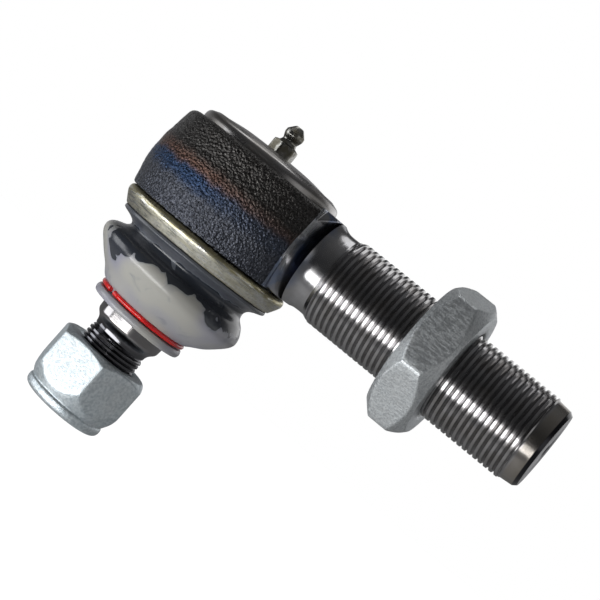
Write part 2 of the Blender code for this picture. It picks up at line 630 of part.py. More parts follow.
# Heights here run along the stud's own axis, from the ball's centre down.
nut_top = -STUD_NUT_PLACE
nut_bottom = nut_top - STUD_NUT_HEIGHT
hex_bottom = nut_top - STUD_NUT_HEX_HEIGHT
stud_nut = hex_prism(
    "stud_nut", STUD_NUT_FLATS, nut_bottom - 0.001, nut_top + 0.001, STUD_NUT_TURN, bright_zinc
)
nut_corner = STUD_NUT_FLATS / math.sqrt(3) + 0.0006
nut_face = STUD_NUT_FLATS / 2 - 0.0007
nut_chamfer = (nut_corner - nut_face) * math.tan(math.radians(30))
recess_radius = STUD_NUT_BORE + INSERT_WALL + GAP * 2
insert_top = hex_bottom - GAP * 0.5
insert_bottom = insert_top - INSERT_HEIGHT
stud_blank_profile = [
    (STUD_NUT_BORE, nut_top - thread_mouth),
    (STUD_NUT_BORE + thread_mouth, nut_top),
    (nut_face, nut_top),
    (nut_corner, nut_top - nut_chamfer),
    (nut_corner, hex_bottom + 0.0042),
    (STUD_NUT_COLLAR_RADIUS + 0.0003, hex_bottom + 0.0002),
    (STUD_NUT_COLLAR_RADIUS, hex_bottom - 0.0004),
    (STUD_NUT_COLLAR_RADIUS - 0.0005, nut_bottom + 0.0034),
    (STUD_NUT_COLLAR_RADIUS - 0.0013, nut_bottom + 0.0014),
    (STUD_NUT_COLLAR_RADIUS - 0.0026, nut_bottom + 0.0003),
    (STUD_NUT_COLLAR_RADIUS - 0.0036, nut_bottom),
    (STUD_NUT_BORE + 0.0008, nut_bottom),
    (STUD_NUT_BORE + 0.0008, nut_bottom + CRIMP_LIP),
    (recess_radius, nut_bottom + CRIMP_LIP),
    (recess_radius, hex_bottom),
    (STUD_NUT_BORE, hex_bottom),
]
stud_blank = turned("stud_nut_blank", stud_blank_profile, bright_zinc, segments=RUNNING_SEGMENTS)
combine(stud_nut, stud_blank, "INTERSECT")
place(stud_nut, along_stud)

insert_profile = [
    (STUD_NUT_BORE, insert_bottom),
    (recess_radius - GAP, insert_bottom),
    (recess_radius - GAP, insert_top),
    (STUD_NUT_BORE, insert_top),
]
place(turned("stud_nut_insert", insert_profile, nylon, segments=RUNNING_SEGMENTS), along_stud)

# ---------------------------------------------------------------- boot and its two rings
RING_TOP_Z = -RING_SHOULDER_DEPTH - GAP
RING_BOTTOM_Z = RING_TOP_Z - CLAMP_RING_HEIGHT
clamp_outer = [
    (CLAMP_RING_RADIUS - 0.0014, RING_TOP_Z),
    (CLAMP_RING_RADIUS - 0.0004, RING_TOP_Z - 0.0004),
    (CLAMP_RING_RADIUS, RING_TOP_Z - 0.0012),
    (CLAMP_RING_RADIUS - 0.0004, RING_TOP_Z - 0.0026),
    (CLAMP_RING_RADIUS - 0.0024, RING_BOTTOM_Z),
]
clamp_inner = [(radius - CLAMP_RING_WALL, z) for radius, z in reversed(clamp_outer[1:])]
clamp_inner[0] = (clamp_inner[0][0], RING_BOTTOM_Z)
turned(
    "boot_clamp_ring",
    clamp_outer + clamp_inner + [(CLAMP_RING_RADIUS - 0.0026, RING_TOP_Z)],
    yellow_zinc,
)

taper_radius_at_lip = TAPER_LARGE_RADIUS - (BOOT_LIP_END - TAPER_START) * TAPER_PER_LENGTH
LIP_BORE = taper_radius_at_lip + BOOT_LIP_HEIGHT * TAPER_PER_LENGTH + GAP * 2.2
LIP_BOTTOM_Z = BALL_Z - BOOT_LIP_END
LIP_TOP_Z = LIP_BOTTOM_Z + BOOT_LIP_HEIGHT
BOOT_LIP_RADIUS = LIP_BORE + BOOT_LIP_WALL
GROOVE_RADIUS = BOOT_LIP_RADIUS - 0.0022
RETAINING_Z = LIP_TOP_Z + GAP + RETAINING_WIRE
GROOVE_TOP_Z = RETAINING_Z + RETAINING_WIRE + GAP
BULGE_Z = RING_BOTTOM_Z - 0.0112
BULGE_RADIUS = CLAMP_RING_RADIUS - 0.0027
WAIST_Z = RING_BOTTOM_Z - 0.0048
WAIST_RADIUS = CLAMP_RING_RADIUS - 0.0076
bead_outer = CLAMP_RING_RADIUS - CLAMP_RING_WALL - GAP
boot_outer = [
    (bead_outer - 0.0022, RING_TOP_Z - 0.0003),
    (bead_outer - 0.0004, RING_TOP_Z - 0.0012),
    (bead_outer - 0.0006, RING_TOP_Z - 0.0026),
    (bead_outer - 0.0025, RING_BOTTOM_Z - GAP),
    (CLAMP_RING_RADIUS - 0.0025, RING_BOTTOM_Z - GAP),
    (CLAMP_RING_RADIUS - 0.0026, RING_BOTTOM_Z - 0.0012),
    (CLAMP_RING_RADIUS - 0.0040, RING_BOTTOM_Z - 0.0021),
    (WAIST_RADIUS + 0.0009, WAIST_Z + 0.0014),
    (WAIST_RADIUS, WAIST_Z),
    (WAIST_RADIUS + 0.0006, WAIST_Z - 0.0013),
    (BULGE_RADIUS - 0.0022, BULGE_Z + 0.0034),
    (BULGE_RADIUS - 0.0007, BULGE_Z + 0.0020),
    (BULGE_RADIUS, BULGE_Z),
    (BULGE_RADIUS - 0.0004, BULGE_Z - 0.0014),
    (BULGE_RADIUS - 0.0018, BULGE_Z - 0.0034),
    (BULGE_RADIUS - 0.0047, BULGE_Z - 0.0066),
    (GROOVE_RADIUS + 0.0016, GROOVE_TOP_Z + 0.0008),
    (GROOVE_RADIUS, GROOVE_TOP_Z),
    (GROOVE_RADIUS, LIP_TOP_Z),
    (BOOT_LIP_RADIUS - 0.0003, LIP_TOP_Z),
    (BOOT_LIP_RADIUS, LIP_TOP_Z - 0.0004),
    (BOOT_LIP_RADIUS, LIP_BOTTOM_Z + 0.0006),
    (BOOT_LIP_RADIUS - 0.0006, LIP_BOTTOM_Z),
    (LIP_BORE + 0.0003, LIP_BOTTOM_Z),
]
boot_inner = [
    (LIP_BORE, LIP_BOTTOM_Z + 0.0003),
    (LIP_BORE, GROOVE_TOP_Z + 0.0010),
    (BULGE_RADIUS - 0.0047 - BOOT_WALL, BULGE_Z - 0.0054),
    (BULGE_RADIUS - 0.0018 - BOOT_WALL, BULGE_Z - 0.0026),
    (BULGE_RADIUS - BOOT_WALL, BULGE_Z),
    (BULGE_RADIUS - 0.0007 - BOOT_WALL, BULGE_Z + 0.0014),
    (BULGE_RADIUS - 0.0028 - BOOT_WALL, BULGE_Z + 0.0030),
    (WAIST_RADIUS - BOOT_WALL + 0.0002, WAIST_Z - 0.0012),
    (WAIST_RADIUS - BOOT_WALL, WAIST_Z + 0.0002),
    (WAIST_RADIUS - BOOT_WALL + 0.0007, WAIST_Z + 0.0022),
    (SKIRT_RADIUS + GAP, SKIRT_Z - 0.0002),
    (SKIRT_RADIUS + GAP, RING_TOP_Z - 0.0003),
]
dust_boot = turned("dust_boot", boot_outer + boot_inner, grey_rubber)
LEAN_START = WAIST_Z + 0.0020
LEAN_END = BULGE_Z
lean(dust_boot, LEAN_START, LEAN_END)

RETAINING_RADIUS = GROOVE_RADIUS + GAP + RETAINING_WIRE


def retaining_path(share):
    """A flat ring round the groove above the boot's lip."""
    return RETAINING_RADIUS, RETAINING_Z - BALL_Z


open_turn = 1 - RETAINING_GAP / (2 * math.pi)
retaining_ring = coil("boot_retaining_ring", retaining_path, open_turn, 30, RETAINING_WIRE, 6, red_plastic)
retaining_ring.matrix_world = along_stud @ Matrix.Rotation(RETAINING_TURN + RETAINING_GAP / 2, 4, "Z")
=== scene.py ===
"""The looks of a heavy tie rod end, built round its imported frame.

+Z is the socket's axis out of the cap, +X runs along the threaded shank, and the origin is where they cross.
Lengths in the outlines are in millimetres, and mm() turns them into the frame's metres.
"""

import json
import math

import bmesh
import bpy
import numpy as np
from mathutils import Matrix, Vector

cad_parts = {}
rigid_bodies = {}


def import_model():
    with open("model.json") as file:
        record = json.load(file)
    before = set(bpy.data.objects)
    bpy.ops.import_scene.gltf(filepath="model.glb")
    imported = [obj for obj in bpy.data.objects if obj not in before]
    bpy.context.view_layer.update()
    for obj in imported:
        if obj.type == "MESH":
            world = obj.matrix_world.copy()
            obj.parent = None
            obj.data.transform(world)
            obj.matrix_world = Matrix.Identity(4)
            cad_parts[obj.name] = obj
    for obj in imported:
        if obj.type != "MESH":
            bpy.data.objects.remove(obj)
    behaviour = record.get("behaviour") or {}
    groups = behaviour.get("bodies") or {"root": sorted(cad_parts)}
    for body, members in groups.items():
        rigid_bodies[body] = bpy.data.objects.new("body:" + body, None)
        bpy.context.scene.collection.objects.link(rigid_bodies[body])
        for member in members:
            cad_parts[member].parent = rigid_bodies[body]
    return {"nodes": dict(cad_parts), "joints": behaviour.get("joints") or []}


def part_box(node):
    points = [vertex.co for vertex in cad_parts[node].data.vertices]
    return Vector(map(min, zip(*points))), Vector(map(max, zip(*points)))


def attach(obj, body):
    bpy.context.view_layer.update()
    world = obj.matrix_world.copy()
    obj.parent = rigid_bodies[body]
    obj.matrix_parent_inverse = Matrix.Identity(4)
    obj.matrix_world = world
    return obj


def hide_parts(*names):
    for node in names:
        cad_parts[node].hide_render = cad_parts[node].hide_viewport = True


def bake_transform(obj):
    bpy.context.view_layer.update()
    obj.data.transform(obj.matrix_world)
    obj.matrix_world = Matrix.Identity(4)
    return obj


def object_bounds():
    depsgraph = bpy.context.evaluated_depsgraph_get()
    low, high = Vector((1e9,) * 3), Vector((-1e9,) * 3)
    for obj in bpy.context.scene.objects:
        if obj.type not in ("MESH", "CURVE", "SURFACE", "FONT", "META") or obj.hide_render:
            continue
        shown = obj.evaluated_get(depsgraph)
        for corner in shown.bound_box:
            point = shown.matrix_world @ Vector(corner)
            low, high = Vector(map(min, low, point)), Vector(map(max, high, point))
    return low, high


for leftover in list(bpy.data.objects):
    bpy.data.objects.remove(leftover, do_unlink=True)
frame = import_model()
cad_low, cad_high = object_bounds()

joints = {joint["name"]: joint for joint in frame["joints"]}
ball_centre = Vector(joints["stud_spin"]["pos_m"])
stud_up = Vector(joints["stud_spin"]["axis"]).normalized()
stud_turn = Vector((0, 0, 1)).rotation_difference(stud_up).to_matrix()
along_stud = Matrix.Translation(ball_centre) @ stud_turn.to_4x4()
along_shank = Matrix.Rotation(math.pi / 2, 4, "Y")
stud_lean = math.atan2(stud_up.x, stud_up.z)

# ---------------------------------------------------------------- socket forging
# The socket is a drop forging: a low barrel with the shank's root growing out of one side. Its outside keeps
# the scale's fine orange-peel under black oxide, with a heat-tinted band, and only its ends are machined.


def mm(values):
    """Millimetres to metres."""
    return np.asarray(values, float) * 0.001


def smooth_curve(points, steps):
    """A Catmull-Rom curve through the points: each stretch is a cubic set by its own and its outer
    neighbours."""
    points = np.asarray(points, float)
    held = np.vstack([2 * points[0] - points[1], points, 2 * points[-1] - points[-2]])
    t = np.linspace(0, 1, steps, endpoint=False)[:, None]
    stretches = [
        0.5 * (2 * b + (c - a) * t + (2 * a - 5 * b + 4 * c - d) * t**2 + (3 * b - a - 3 * c + d) * t**3)
        for a, b, c, d in zip(held, held[1:], held[2:], held[3:])
    ]
    return np.vstack([*stretches, points[-1:]])


def filleted(corners, steps=5, closed=False):
    """An outline with rounded corners. A corner is (radius, height, fillet): a parabola takes its place,
    which leaves and joins the sides one fillet away from it. Fillet 0 stays sharp."""
    corners = np.asarray(corners, float)
    places = corners[:, :2]
    before = np.roll(places, 1, axis=0)
    after = np.roll(places, -1, axis=0)
    if not closed:
        before[0] = places[0]
        after[-1] = places[-1]
    t = np.linspace(0, 1, steps + 1)[:, None]
    outline = []
    fillets = corners[:, 2]
    for place, back, ahead, fillet, one_back, one_ahead in zip(
        places, before, after, fillets, np.roll(fillets, 1), np.roll(fillets, -1)
    ):
        reach_back = np.linalg.norm(back - place)
        reach_ahead = np.linalg.norm(ahead - place)
        if fillet == 0 or reach_back == 0 or reach_ahead == 0:
            outline.append(place[None, :])
            continue
        start = place + (back - place) * min(fillet / reach_back, 0.5 if one_back else 1.0)
        end = place + (ahead - place) * min(fillet / reach_ahead, 0.5 if one_ahead else 1.0)
        outline.append((1 - t) ** 2 * start + 2 * t * (1 - t) * place + t**2 * end)
    outline = np.vstack(outline)
    return np.vstack([outline, outline[:1]]) if closed else outline


def spaced(outline, step):
    """The outline with points added, so that no stretch is longer than step."""
    pieces = []
    for start, end in zip(outline, outline[1:]):
        count = max(1, math.ceil(np.linalg.norm(end - start) / step))
        share = np.linspace(0, 1, count, endpoint=False)[:, None]
        pieces.append(start + (end - start) * share)
    return np.vstack([*pieces, outline[-1:]])


def turned(outline, around=144, angles=None):
    """(points, uv) of a surface of revolution about +Z: the outline's (radius, height) carried round the
    axis. u is the share of a turn and v the distance along the outline in metres."""
    outline = np.asarray(outline, float)
    if angles is None:
        angles = np.linspace(0, 2 * math.pi, around + 1)
    radius, height = outline[:, :1], outline[:, 1:2]
    points = np.stack(
        [radius * np.cos(angles), radius * np.sin(angles), height + 0 * angles], axis=-1
    )
    steps = np.linalg.norm(np.diff(outline, axis=0), axis=1)
    along = np.concatenate([[0.0], np.cumsum(steps)])[:, None]
    uv = np.stack([0 * along + angles / (2 * math.pi), along + 0 * angles], axis=-1)
    return points, uv


def lattice_noise(points, cell, seed=0):
    """Smooth noise from -1 to 1: random values at the corners of cubic cells, blended by smoothstep
    weights."""
    scaled = np.asarray(points, float) / cell + 1000.0
    corner = np.floor(scaled)
    share = scaled - corner
    share = share * share * (3 - 2 * share)
    total = 0.0
    for offset in np.ndindex(2, 2, 2):
        place = (corner + offset) @ np.array([12.9898, 78.233, 37.719]) + seed * 4.1414
        value = np.sin(place) * 43758.5453
        weight = np.prod(np.where(offset, share, 1 - share), axis=-1)
        total = total + weight * (value - np.floor(value))
    return 2 * total - 1


def make_piece(name, surfaces, material, matrix=Matrix.Identity(4), crease=32, merge=2e-6):
    """One object from grids of (points, uv). Neighbouring grid points make quads, points that coincide are
    merged, and faces that meet at more than crease degrees keep a sharp edge."""
    corners, places, maps = [], [], []
    count = 0
    for points, uv in surfaces:
        rows, columns = points.shape[:2]
        index = np.arange(rows * columns).reshape(rows, columns) + count
        quads = np.stack([index[:-1, :-1], index[:-1, 1:], index[1:, 1:], index[1:, :-1]], axis=-1)
        corners.append(quads.reshape(-1, 4))
        places.append(points.reshape(-1, 3))
        maps.append(uv.reshape(-1, 2))
        count += rows * columns
    corners = np.vstack(corners)
    turn = np.array(matrix.to_3x3())
    places = np.vstack(places) @ turn.T + np.array(matrix.translation)
    mesh = bpy.data.meshes.new(name)
    mesh.from_pydata(places.tolist(), [], corners.tolist())
    layer = mesh.uv_layers.new(name="surface")
    layer.data.foreach_set("uv", np.vstack(maps)[corners.ravel()].astype(np.float32).ravel())
    shape = bmesh.new()
    shape.from_mesh(mesh)
    bmesh.ops.remove_doubles(shape, verts=shape.verts, dist=merge)
    bmesh.ops.dissolve_degenerate(shape, edges=shape.edges, dist=1e-7)
    bmesh.ops.recalc_face_normals(shape, faces=shape.faces)
    shape.to_mesh(mesh)
    shape.free()
    mesh.materials.append(material)
    mesh.shade_smooth()
    mesh.set_sharp_from_angle(angle=math.radians(crease))
    piece = bpy.data.objects.new(name, mesh)
    bpy.context.scene.collection.objects.link(piece)
    return piece


def fit_in(piece, body, slot, *nodes):
    """Rides the piece on its body and takes the place of its CAD nodes. slot is not used."""
    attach(piece, body)
    if nodes:
        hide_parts(*nodes)
    return piece


def add_node(tree, kind, inputs=None, **settings):
    """A shader node with its settings. inputs maps a socket's name or number to a value or another output."""
    made = tree.nodes.new(kind)
    for key, value in settings.items():
        setattr(made, key, value)
    for key, value in (inputs or {}).items():
        if isinstance(value, bpy.types.NodeSocket):
            tree.links.new(value, made.inputs[key])
        else:
            made.inputs[key].default_value = value
    return made


def new_finish(name, **sockets):
    """(material, its node tree, its Principled BSDF). A socket's spaces are underscores here."""
    material = bpy.data.materials.new(name)
    material.use_nodes = True
    shader = material.node_tree.nodes["Principled BSDF"]
    for key, value in sockets.items():
        shader.inputs[key.replace("_", " ")].default_value = value
    return material, material.node_tree, shader


def object_place(tree):
    """The place on the object, in metres."""
    return add_node(tree, "ShaderNodeTexCoord").outputs["Object"]


def remap(tree, value, low, high, to_low=0.0, to_high=1.0, smooth=True):
    """value from low..high to to_low..to_high, held at the ends."""
    kind = "SMOOTHSTEP" if smooth else "LINEAR"
    inputs = {"Value": value, "From Min": low, "From Max": high, "To Min": to_low, "To Max": to_high}
    return add_node(tree, "ShaderNodeMapRange", inputs, interpolation_type=kind).outputs["Result"]


def blend_colour(tree, share, first, second):
    """first where share is 0, second where it is 1."""
    inputs = {0: share, 6: first, 7: second}
    return add_node(tree, "ShaderNodeMix", inputs, data_type="RGBA").outputs[2]


def reckon(tree, operation, first, second=0.0, third=0.0):
    """One step of arithmetic on two or three values."""
    return add_node(tree, "ShaderNodeMath", {0: first, 1: second, 2: third}, operation=operation).outputs[0]


def bumped(tree, shader, height, distance, strength=1.0):
    """Feeds the shader's normal from a height, which is distance metres tall."""
    inputs = {"Height": height, "Distance": distance, "Strength": strength}
    bump = add_node(tree, "ShaderNodeBump", inputs)
    tree.links.new(bump.outputs["Normal"], shader.inputs["Normal"])


def new_group(name, inputs, output):
    """(group, its input node, a function that sets its output). inputs maps a name to a default value."""
    group = bpy.data.node_groups.new(name, "ShaderNodeTree")
    for key, value in inputs.items():
        kind = "NodeSocketVector" if value is None else "NodeSocketFloat"
        socket = group.interface.new_socket(key, in_out="INPUT", socket_type=kind)
        if value is not None:
            socket.default_value = value
    group.interface.new_socket(output, in_out="OUTPUT", socket_type="NodeSocketFloat")
    entry = group.nodes.new("NodeGroupInput")
    exit_node = group.nodes.new("NodeGroupOutput")
    return group, entry, lambda value: group.links.new(value, exit_node.inputs[output])


def use_group(tree, group, **inputs):
    """The first output of a shader group placed in a tree. An input's spaces are underscores here."""
    placed = tree.nodes.new("ShaderNodeGroup")
    placed.node_tree = group
    for key, value in inputs.items():
        socket = placed.inputs[key.replace("_", " ")]
        if isinstance(value, bpy.types.NodeSocket):
            tree.links.new(value, socket)
        else:
            socket.default_value = value
    return placed.outputs[0]


# Patches: soft or hard-edged islands of a given size, as 0 to 1.
patches, patches_in, patches_out = new_group(
    "patches", {"Place": None, "Size": 0.005, "Low": 0.4, "High": 0.6, "Detail": 2.0, "Warp": 0.0}, "Mask"
)
patch_scale = reckon(patches, "DIVIDE", 1.0, patches_in.outputs["Size"])
patch_noise = add_node(
    patches,
    "ShaderNodeTexNoise",
    {
        "Vector": patches_in.outputs["Place"],
        "Scale": patch_scale,
        "Detail": patches_in.outputs["Detail"],
        "Distortion": patches_in.outputs["Warp"],
    },
)
patches_out(remap(patches, patch_noise.outputs[0], patches_in.outputs["Low"], patches_in.outputs["High"]))

forging_finish, tree, shader = new_finish("black_oxide_forging", Metallic=1.0, Roughness=0.36)
place = object_place(tree)
split = add_node(tree, "ShaderNodeSeparateXYZ", {0: place}).outputs
wander = use_group(tree, patches, Place=place, Size=0.005, Low=0.2, High=0.8, Detail=3.0)
speck = use_group(tree, patches, Place=place, Size=0.0007, Low=0.35, High=0.65, Detail=2.0)
level = reckon(tree, "MULTIPLY_ADD", wander, 0.0016, split["Z"])
band_share = remap(tree, split["X"], 0.016, -0.010)
blue_band = reckon(
    tree, "MULTIPLY", remap(tree, level, -0.0060, -0.0022), remap(tree, level, 0.0022, -0.0004)
)
brown_band = reckon(tree, "MULTIPLY", remap(tree, level, -0.0008, 0.0018), remap(tree, level, 0.0062, 0.0022))
scale_colour = blend_colour(tree, speck, (0.055, 0.060, 0.075, 1), (0.100, 0.106, 0.125, 1))
upper_colour = blend_colour(tree, speck, (0.045, 0.042, 0.040, 1), (0.080, 0.077, 0.074, 1))
scale_colour = blend_colour(tree, remap(tree, level, -0.0005, 0.0050), scale_colour, upper_colour)
blue_share = reckon(tree, "MULTIPLY", blue_band, reckon(tree, "MULTIPLY_ADD", band_share, 0.62, 0.18))
scale_colour = blend_colour(tree, blue_share, scale_colour, (0.022, 0.050, 0.115, 1))
brown_share = reckon(tree, "MULTIPLY", brown_band, reckon(tree, "MULTIPLY_ADD", band_share, 0.35, 0.40))
scale_colour = blend_colour(tree, brown_share, scale_colour, (0.120, 0.062, 0.042, 1))
tree.links.new(scale_colour, shader.inputs["Base Color"])
warp = add_node(tree, "ShaderNodeTexNoise", {"Vector": place, "Scale": 900.0, "Detail": 2.0})
warped = add_node(tree, "ShaderNodeVectorMath", {0: warp.outputs["Color"], 1: (0.0007,) * 3, 2: place})
warped.operation = "MULTIPLY_ADD"
grain = add_node(tree, "ShaderNodeTexVoronoi", {"Vector": warped.outputs[0], "Scale": 1250.0})
pits_look = {"Vector": place, "Scale": 2600.0, "Detail": 3.0, "Roughness": 0.6}
pits = add_node(tree, "ShaderNodeTexNoise", pits_look)
sunk_grain = reckon(tree, "MULTIPLY", grain.outputs[0], -1.0)
skin_height = reckon(tree, "MULTIPLY_ADD", pits.outputs[0], 0.55, sunk_grain)
tree.links.new(remap(tree, pits.outputs[0], 0.3, 0.7, 0.22, 0.38), shader.inputs["Roughness"])
bumped(tree, shader, skin_height, 0.00040)

PEEL_DEPTH = 0.00006
DIE_SPREAD = 0.00016
PARTING_HEIGHT = 0.00013
PARTING_PLACE = -0.0019
PARTING_WIDTH = 0.00022
ROOT_FACE = 25.45
LIP_FOOT = 25.45
forged_side = smooth_curve(
    [
        (29.75, -13.6),
        (30.35, -10.4),
        (31.1, -6.7),
        (31.45, -3.0),
        (31.15, 3.0),
        (30.55, 5.5),
        (29.9, 9.2),
        (29.6, 11.0),
    ],
    6,
)
top_round = filleted([(29.6, 11.0, 0), (29.2, 14.3, 2.7), (LIP_FOOT, 14.4, 0)], steps=8)[1:]
bottom_round = filleted([(25.0, -14.5, 0), (29.7, -14.55, 0.7), (29.75, -13.6, 0)], steps=4)[:-1]
skin_outline = spaced(mm(np.vstack([bottom_round, forged_side, top_round])), 0.00031)
skin_points, skin_uv = turned(skin_outline, around=640)
outward = skin_points * [1, 1, 0]
outward /= np.linalg.norm(outward, axis=-1, keepdims=True)
rough_share = np.clip((skin_points[..., 2] + 0.0145) / 0.0012, 0, 1) * np.clip(
    (np.linalg.norm(skin_points[..., :2], axis=-1) - mm(LIP_FOOT)) / 0.0012, 0, 1
)
pebble = lattice_noise(skin_points, 0.00110, 1) + 0.7 * lattice_noise(skin_points, 0.00065, 2)
swell = lattice_noise(skin_points, 0.0090, 3)
from_parting = (skin_points[..., 2] - PARTING_PLACE) / PARTING_WIDTH
parting = np.exp(-(from_parting**2)) * (0.7 + 0.3 * swell)
rise = PEEL_DEPTH * pebble + DIE_SPREAD * swell + PARTING_HEIGHT * parting
skin_points = skin_points + outward * (rise * rough_share)[..., None]
skin_points[..., 0] = np.minimum(skin_points[..., 0], mm(ROOT_FACE))
inside_outline = filleted(
    [
        (LIP_FOOT, 14.4, 0),
        (24.4, 13.9, 0),
        (22.8, 13.9, 0),
        (22.8, -9.8, 0),
        (18.9, -15.3, 0),
        (16.7, -15.3, 0),
        (16.7, -15.9, 0),
        (20.5, -21.2, 0),
        (24.6, -21.2, 0.3),
        (24.65, -14.5, 0),
        (25.0, -14.5, 0),
    ]
)
socket = make_piece(
    "socket_forging", [(skin_points, skin_uv), turned(mm(inside_outline), around=640)], forging_finish
)
fit_in(socket, "housing", "black_forging", "socket_housing")

# ---------------------------------------------------------------- threaded shank
# One piece with the forging: the root is turned down in a hollow flare, cut flat above and below by the
# forging's faces, and runs into an M30x2 thread, which fades out before a plain lead-in at the end. Blue
# patches on the neck and a faint warm tint on the lead-in are painted reflections.

SHANK_PITCH = 0.0020
SHANK_CREST = 0.01485
SHANK_ROOT = 0.01400
SHANK_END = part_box("socket_housing")[1].x
NECK_RADIUS = 13.75
THREAD_LOW = 0.0352


def thread_ridge(phase):
    """Height of a thread over one pitch, 0 at its root and 1 at its crest. The crest is flat for nearly half
    the pitch, and the root for a twelfth of it."""
    away = np.abs(phase - 0.5) * 2
    return np.clip((0.92 - away) / 0.46, 0, 1)


def threaded(pitch, root, crest, low, high, limit, fill=lambda height: 0 * height, around=120, across=14):
    """(points, uv) of a right-hand thread about +Z from low to high. Row i at share t of a turn stands at
    low + pitch * (i / across + t), so each row follows the helix. limit(height) trims the radius, and below
    fill(height) no thread is cut."""
    rows = np.arange(-across - 1, math.ceil((high - low) / pitch * across) + 2)[:, None]
    share = np.linspace(0, 1, around + 1)[None, :]
    height = np.clip(low + pitch * (rows / across + share), low, high)
    radius = root + (crest - root) * thread_ridge((rows / across) % 1.0) + 0 * share
    radius = np.minimum(np.maximum(radius, fill(height)), limit(height))
    angle = 2 * math.pi * share
    points = np.stack([radius * np.cos(angle), radius * np.sin(angle), height], axis=-1)
    return points, np.stack([share + 0 * height, height], axis=-1)


def shank_limit(height):
    """The turned blank's radius: it rises from the neck, is full along the thread and tapers to the
    lead-in."""
    places = [THREAD_LOW, THREAD_LOW + 0.0020, THREAD_LOW + 0.0046, SHANK_END - 0.0062]
    places += [SHANK_END - 0.0055, SHANK_END - 0.0012, SHANK_END]
    radii = mm([NECK_RADIUS, 13.8, 14.95, 14.95, 14.25, 13.85, 12.95])
    return np.interp(height, places, radii)


def shank_fill(height):
    """The thread runs out before the plain lead-in: its groove rises to the crest in just over a
    millimetre."""
    return np.interp(height, [SHANK_END - 0.0066, SHANK_END - 0.0054], [SHANK_ROOT, SHANK_CREST])


# Turned lines: fine rings along a turned surface, from its distance along the outline.
turned_lines, lines_in, lines_out = new_group(
    "turned_lines", {"Place": None, "Along": 0.0, "Spacing": 0.0002, "Wander": 0.5}, "Height"
)
line_step = reckon(turned_lines, "DIVIDE", lines_in.outputs["Along"], lines_in.outputs["Spacing"])
drift = add_node(turned_lines, "ShaderNodeTexNoise", {"Vector": lines_in.outputs["Place"], "Scale": 60.0})
line_step = reckon(turned_lines, "MULTIPLY_ADD", drift.outputs[0], lines_in.outputs["Wander"], line_step)
line_look = {"W": line_step, "Scale": 1.0, "Detail": 2.0}
lines_out(add_node(turned_lines, "ShaderNodeTexNoise", line_look, noise_dimensions="1D").outputs[0])


def distance_along(tree):
    """The piece's own v: metres along its outline."""
    uv = add_node(tree, "ShaderNodeUVMap", uv_map="surface").outputs[0]
    return add_node(tree, "ShaderNodeSeparateXYZ", {0: uv}).outputs["Y"]


shank_finish, tree, shader = new_finish("turned_shank", Metallic=1.0, Roughness=0.26)
place = object_place(tree)
split = add_node(tree, "ShaderNodeSeparateXYZ", {0: place}).outputs
lines = use_group(tree, turned_lines, Place=place, Along=distance_along(tree), Spacing=0.00018)
cloud = use_group(tree, patches, Place=place, Size=0.007, Low=0.35, High=0.70, Detail=3.0)
steel_colour = blend_colour(tree, cloud, (0.42, 0.42, 0.435, 1), (0.33, 0.325, 0.325, 1))
# The threaded length is a little darker than the neck.
thread_share = remap(tree, split["X"], THREAD_LOW, THREAD_LOW + 0.005)
thread_colour = blend_colour(tree, cloud, (0.37, 0.365, 0.37, 1), (0.28, 0.27, 0.265, 1))
steel_colour = blend_colour(tree, thread_share, steel_colour, thread_colour)
# Painted reflection: cloudy blue-grey patches on the neck stand in for the bluish room it reflects.
painted_blue_reflection = reckon(tree, "MULTIPLY", remap(tree, split["X"], 0.0335, 0.0285), use_group(
    tree, patches, Place=place, Size=0.008, Low=0.44, High=0.64, Detail=3.0
))
steel_colour = blend_colour(tree, painted_blue_reflection, steel_colour, (0.22, 0.26, 0.36, 1))
# Painted reflection: a faint warm tint on the lead-in stands in for a brown reflection.
painted_warm_reflection = reckon(tree, "MULTIPLY", remap(tree, split["X"], SHANK_END - 0.0056, SHANK_END - 0.0045), 0.35)
steel_colour = blend_colour(tree, painted_warm_reflection, steel_colour, (0.30, 0.25, 0.17, 1))
black_face = remap(tree, split["X"], SHANK_END - 0.00135, SHANK_END - 0.00110)
steel_colour = blend_colour(tree, black_face, steel_colour, (0.045, 0.045, 0.05, 1))
tree.links.new(steel_colour, shader.inputs["Base Color"])
tree.links.new(remap(tree, cloud, 0.0, 1.0, 0.16, 0.26), shader.inputs["Roughness"])
bumped(tree, shader, lines, 0.00002, 0.6)

flare = filleted(
    [(23.8, 25.52, 0), (18.4, 25.6, 0.3), (14.6, 31.0, 1.6), (13.85, 33.0, 0.9), (NECK_RADIUS, 35.2, 0)],
    steps=6,
)
flare_back = mm([(0.0, 25.0), (23.8, 25.0)])
flare_points, flare_uv = turned(np.vstack([flare_back, spaced(mm(flare), 0.0004)]), around=360)
side_radius = mm(np.interp(-flare_points[..., 0] * 1000, forged_side[:, 1], forged_side[:, 0]) + 0.06)
side_limit = np.sqrt(np.clip(side_radius**2 - np.minimum(flare_points[..., 2], 0.030) ** 2, 1e-5, None))
side_cut = np.where(flare_points[..., 2] < 0.0300, side_limit, 1.0)
flare_points[..., 1] = np.clip(flare_points[..., 1], -side_cut, side_cut)
flare_points[..., 0] = np.clip(flare_points[..., 0], -0.0150, 0.0143)
end_outline = np.array(
    [
        (float(shank_limit(SHANK_END)), SHANK_END),
        (0.0022, SHANK_END),
        (0.0, SHANK_END - 0.0018),
    ]
)
shank = make_piece(
    "threaded_shank",
    [
        (flare_points, flare_uv),
        threaded(
            SHANK_PITCH, SHANK_ROOT, SHANK_CREST, THREAD_LOW, SHANK_END, shank_limit, shank_fill, around=240
        ),
        turned(end_outline, around=240),
    ],
    shank_finish,
    along_shank,
    crease=50,
)
fit_in(shank, "housing", "bare_steel", "socket_housing")

# ---------------------------------------------------------------- rolled lip and end cap
# The lip is the socket's machined edge, rolled in over the cap while both turn. The cap is a pressed steel
# plate, slightly domed, held tight under it; a fine dark crease shows where the two meet.

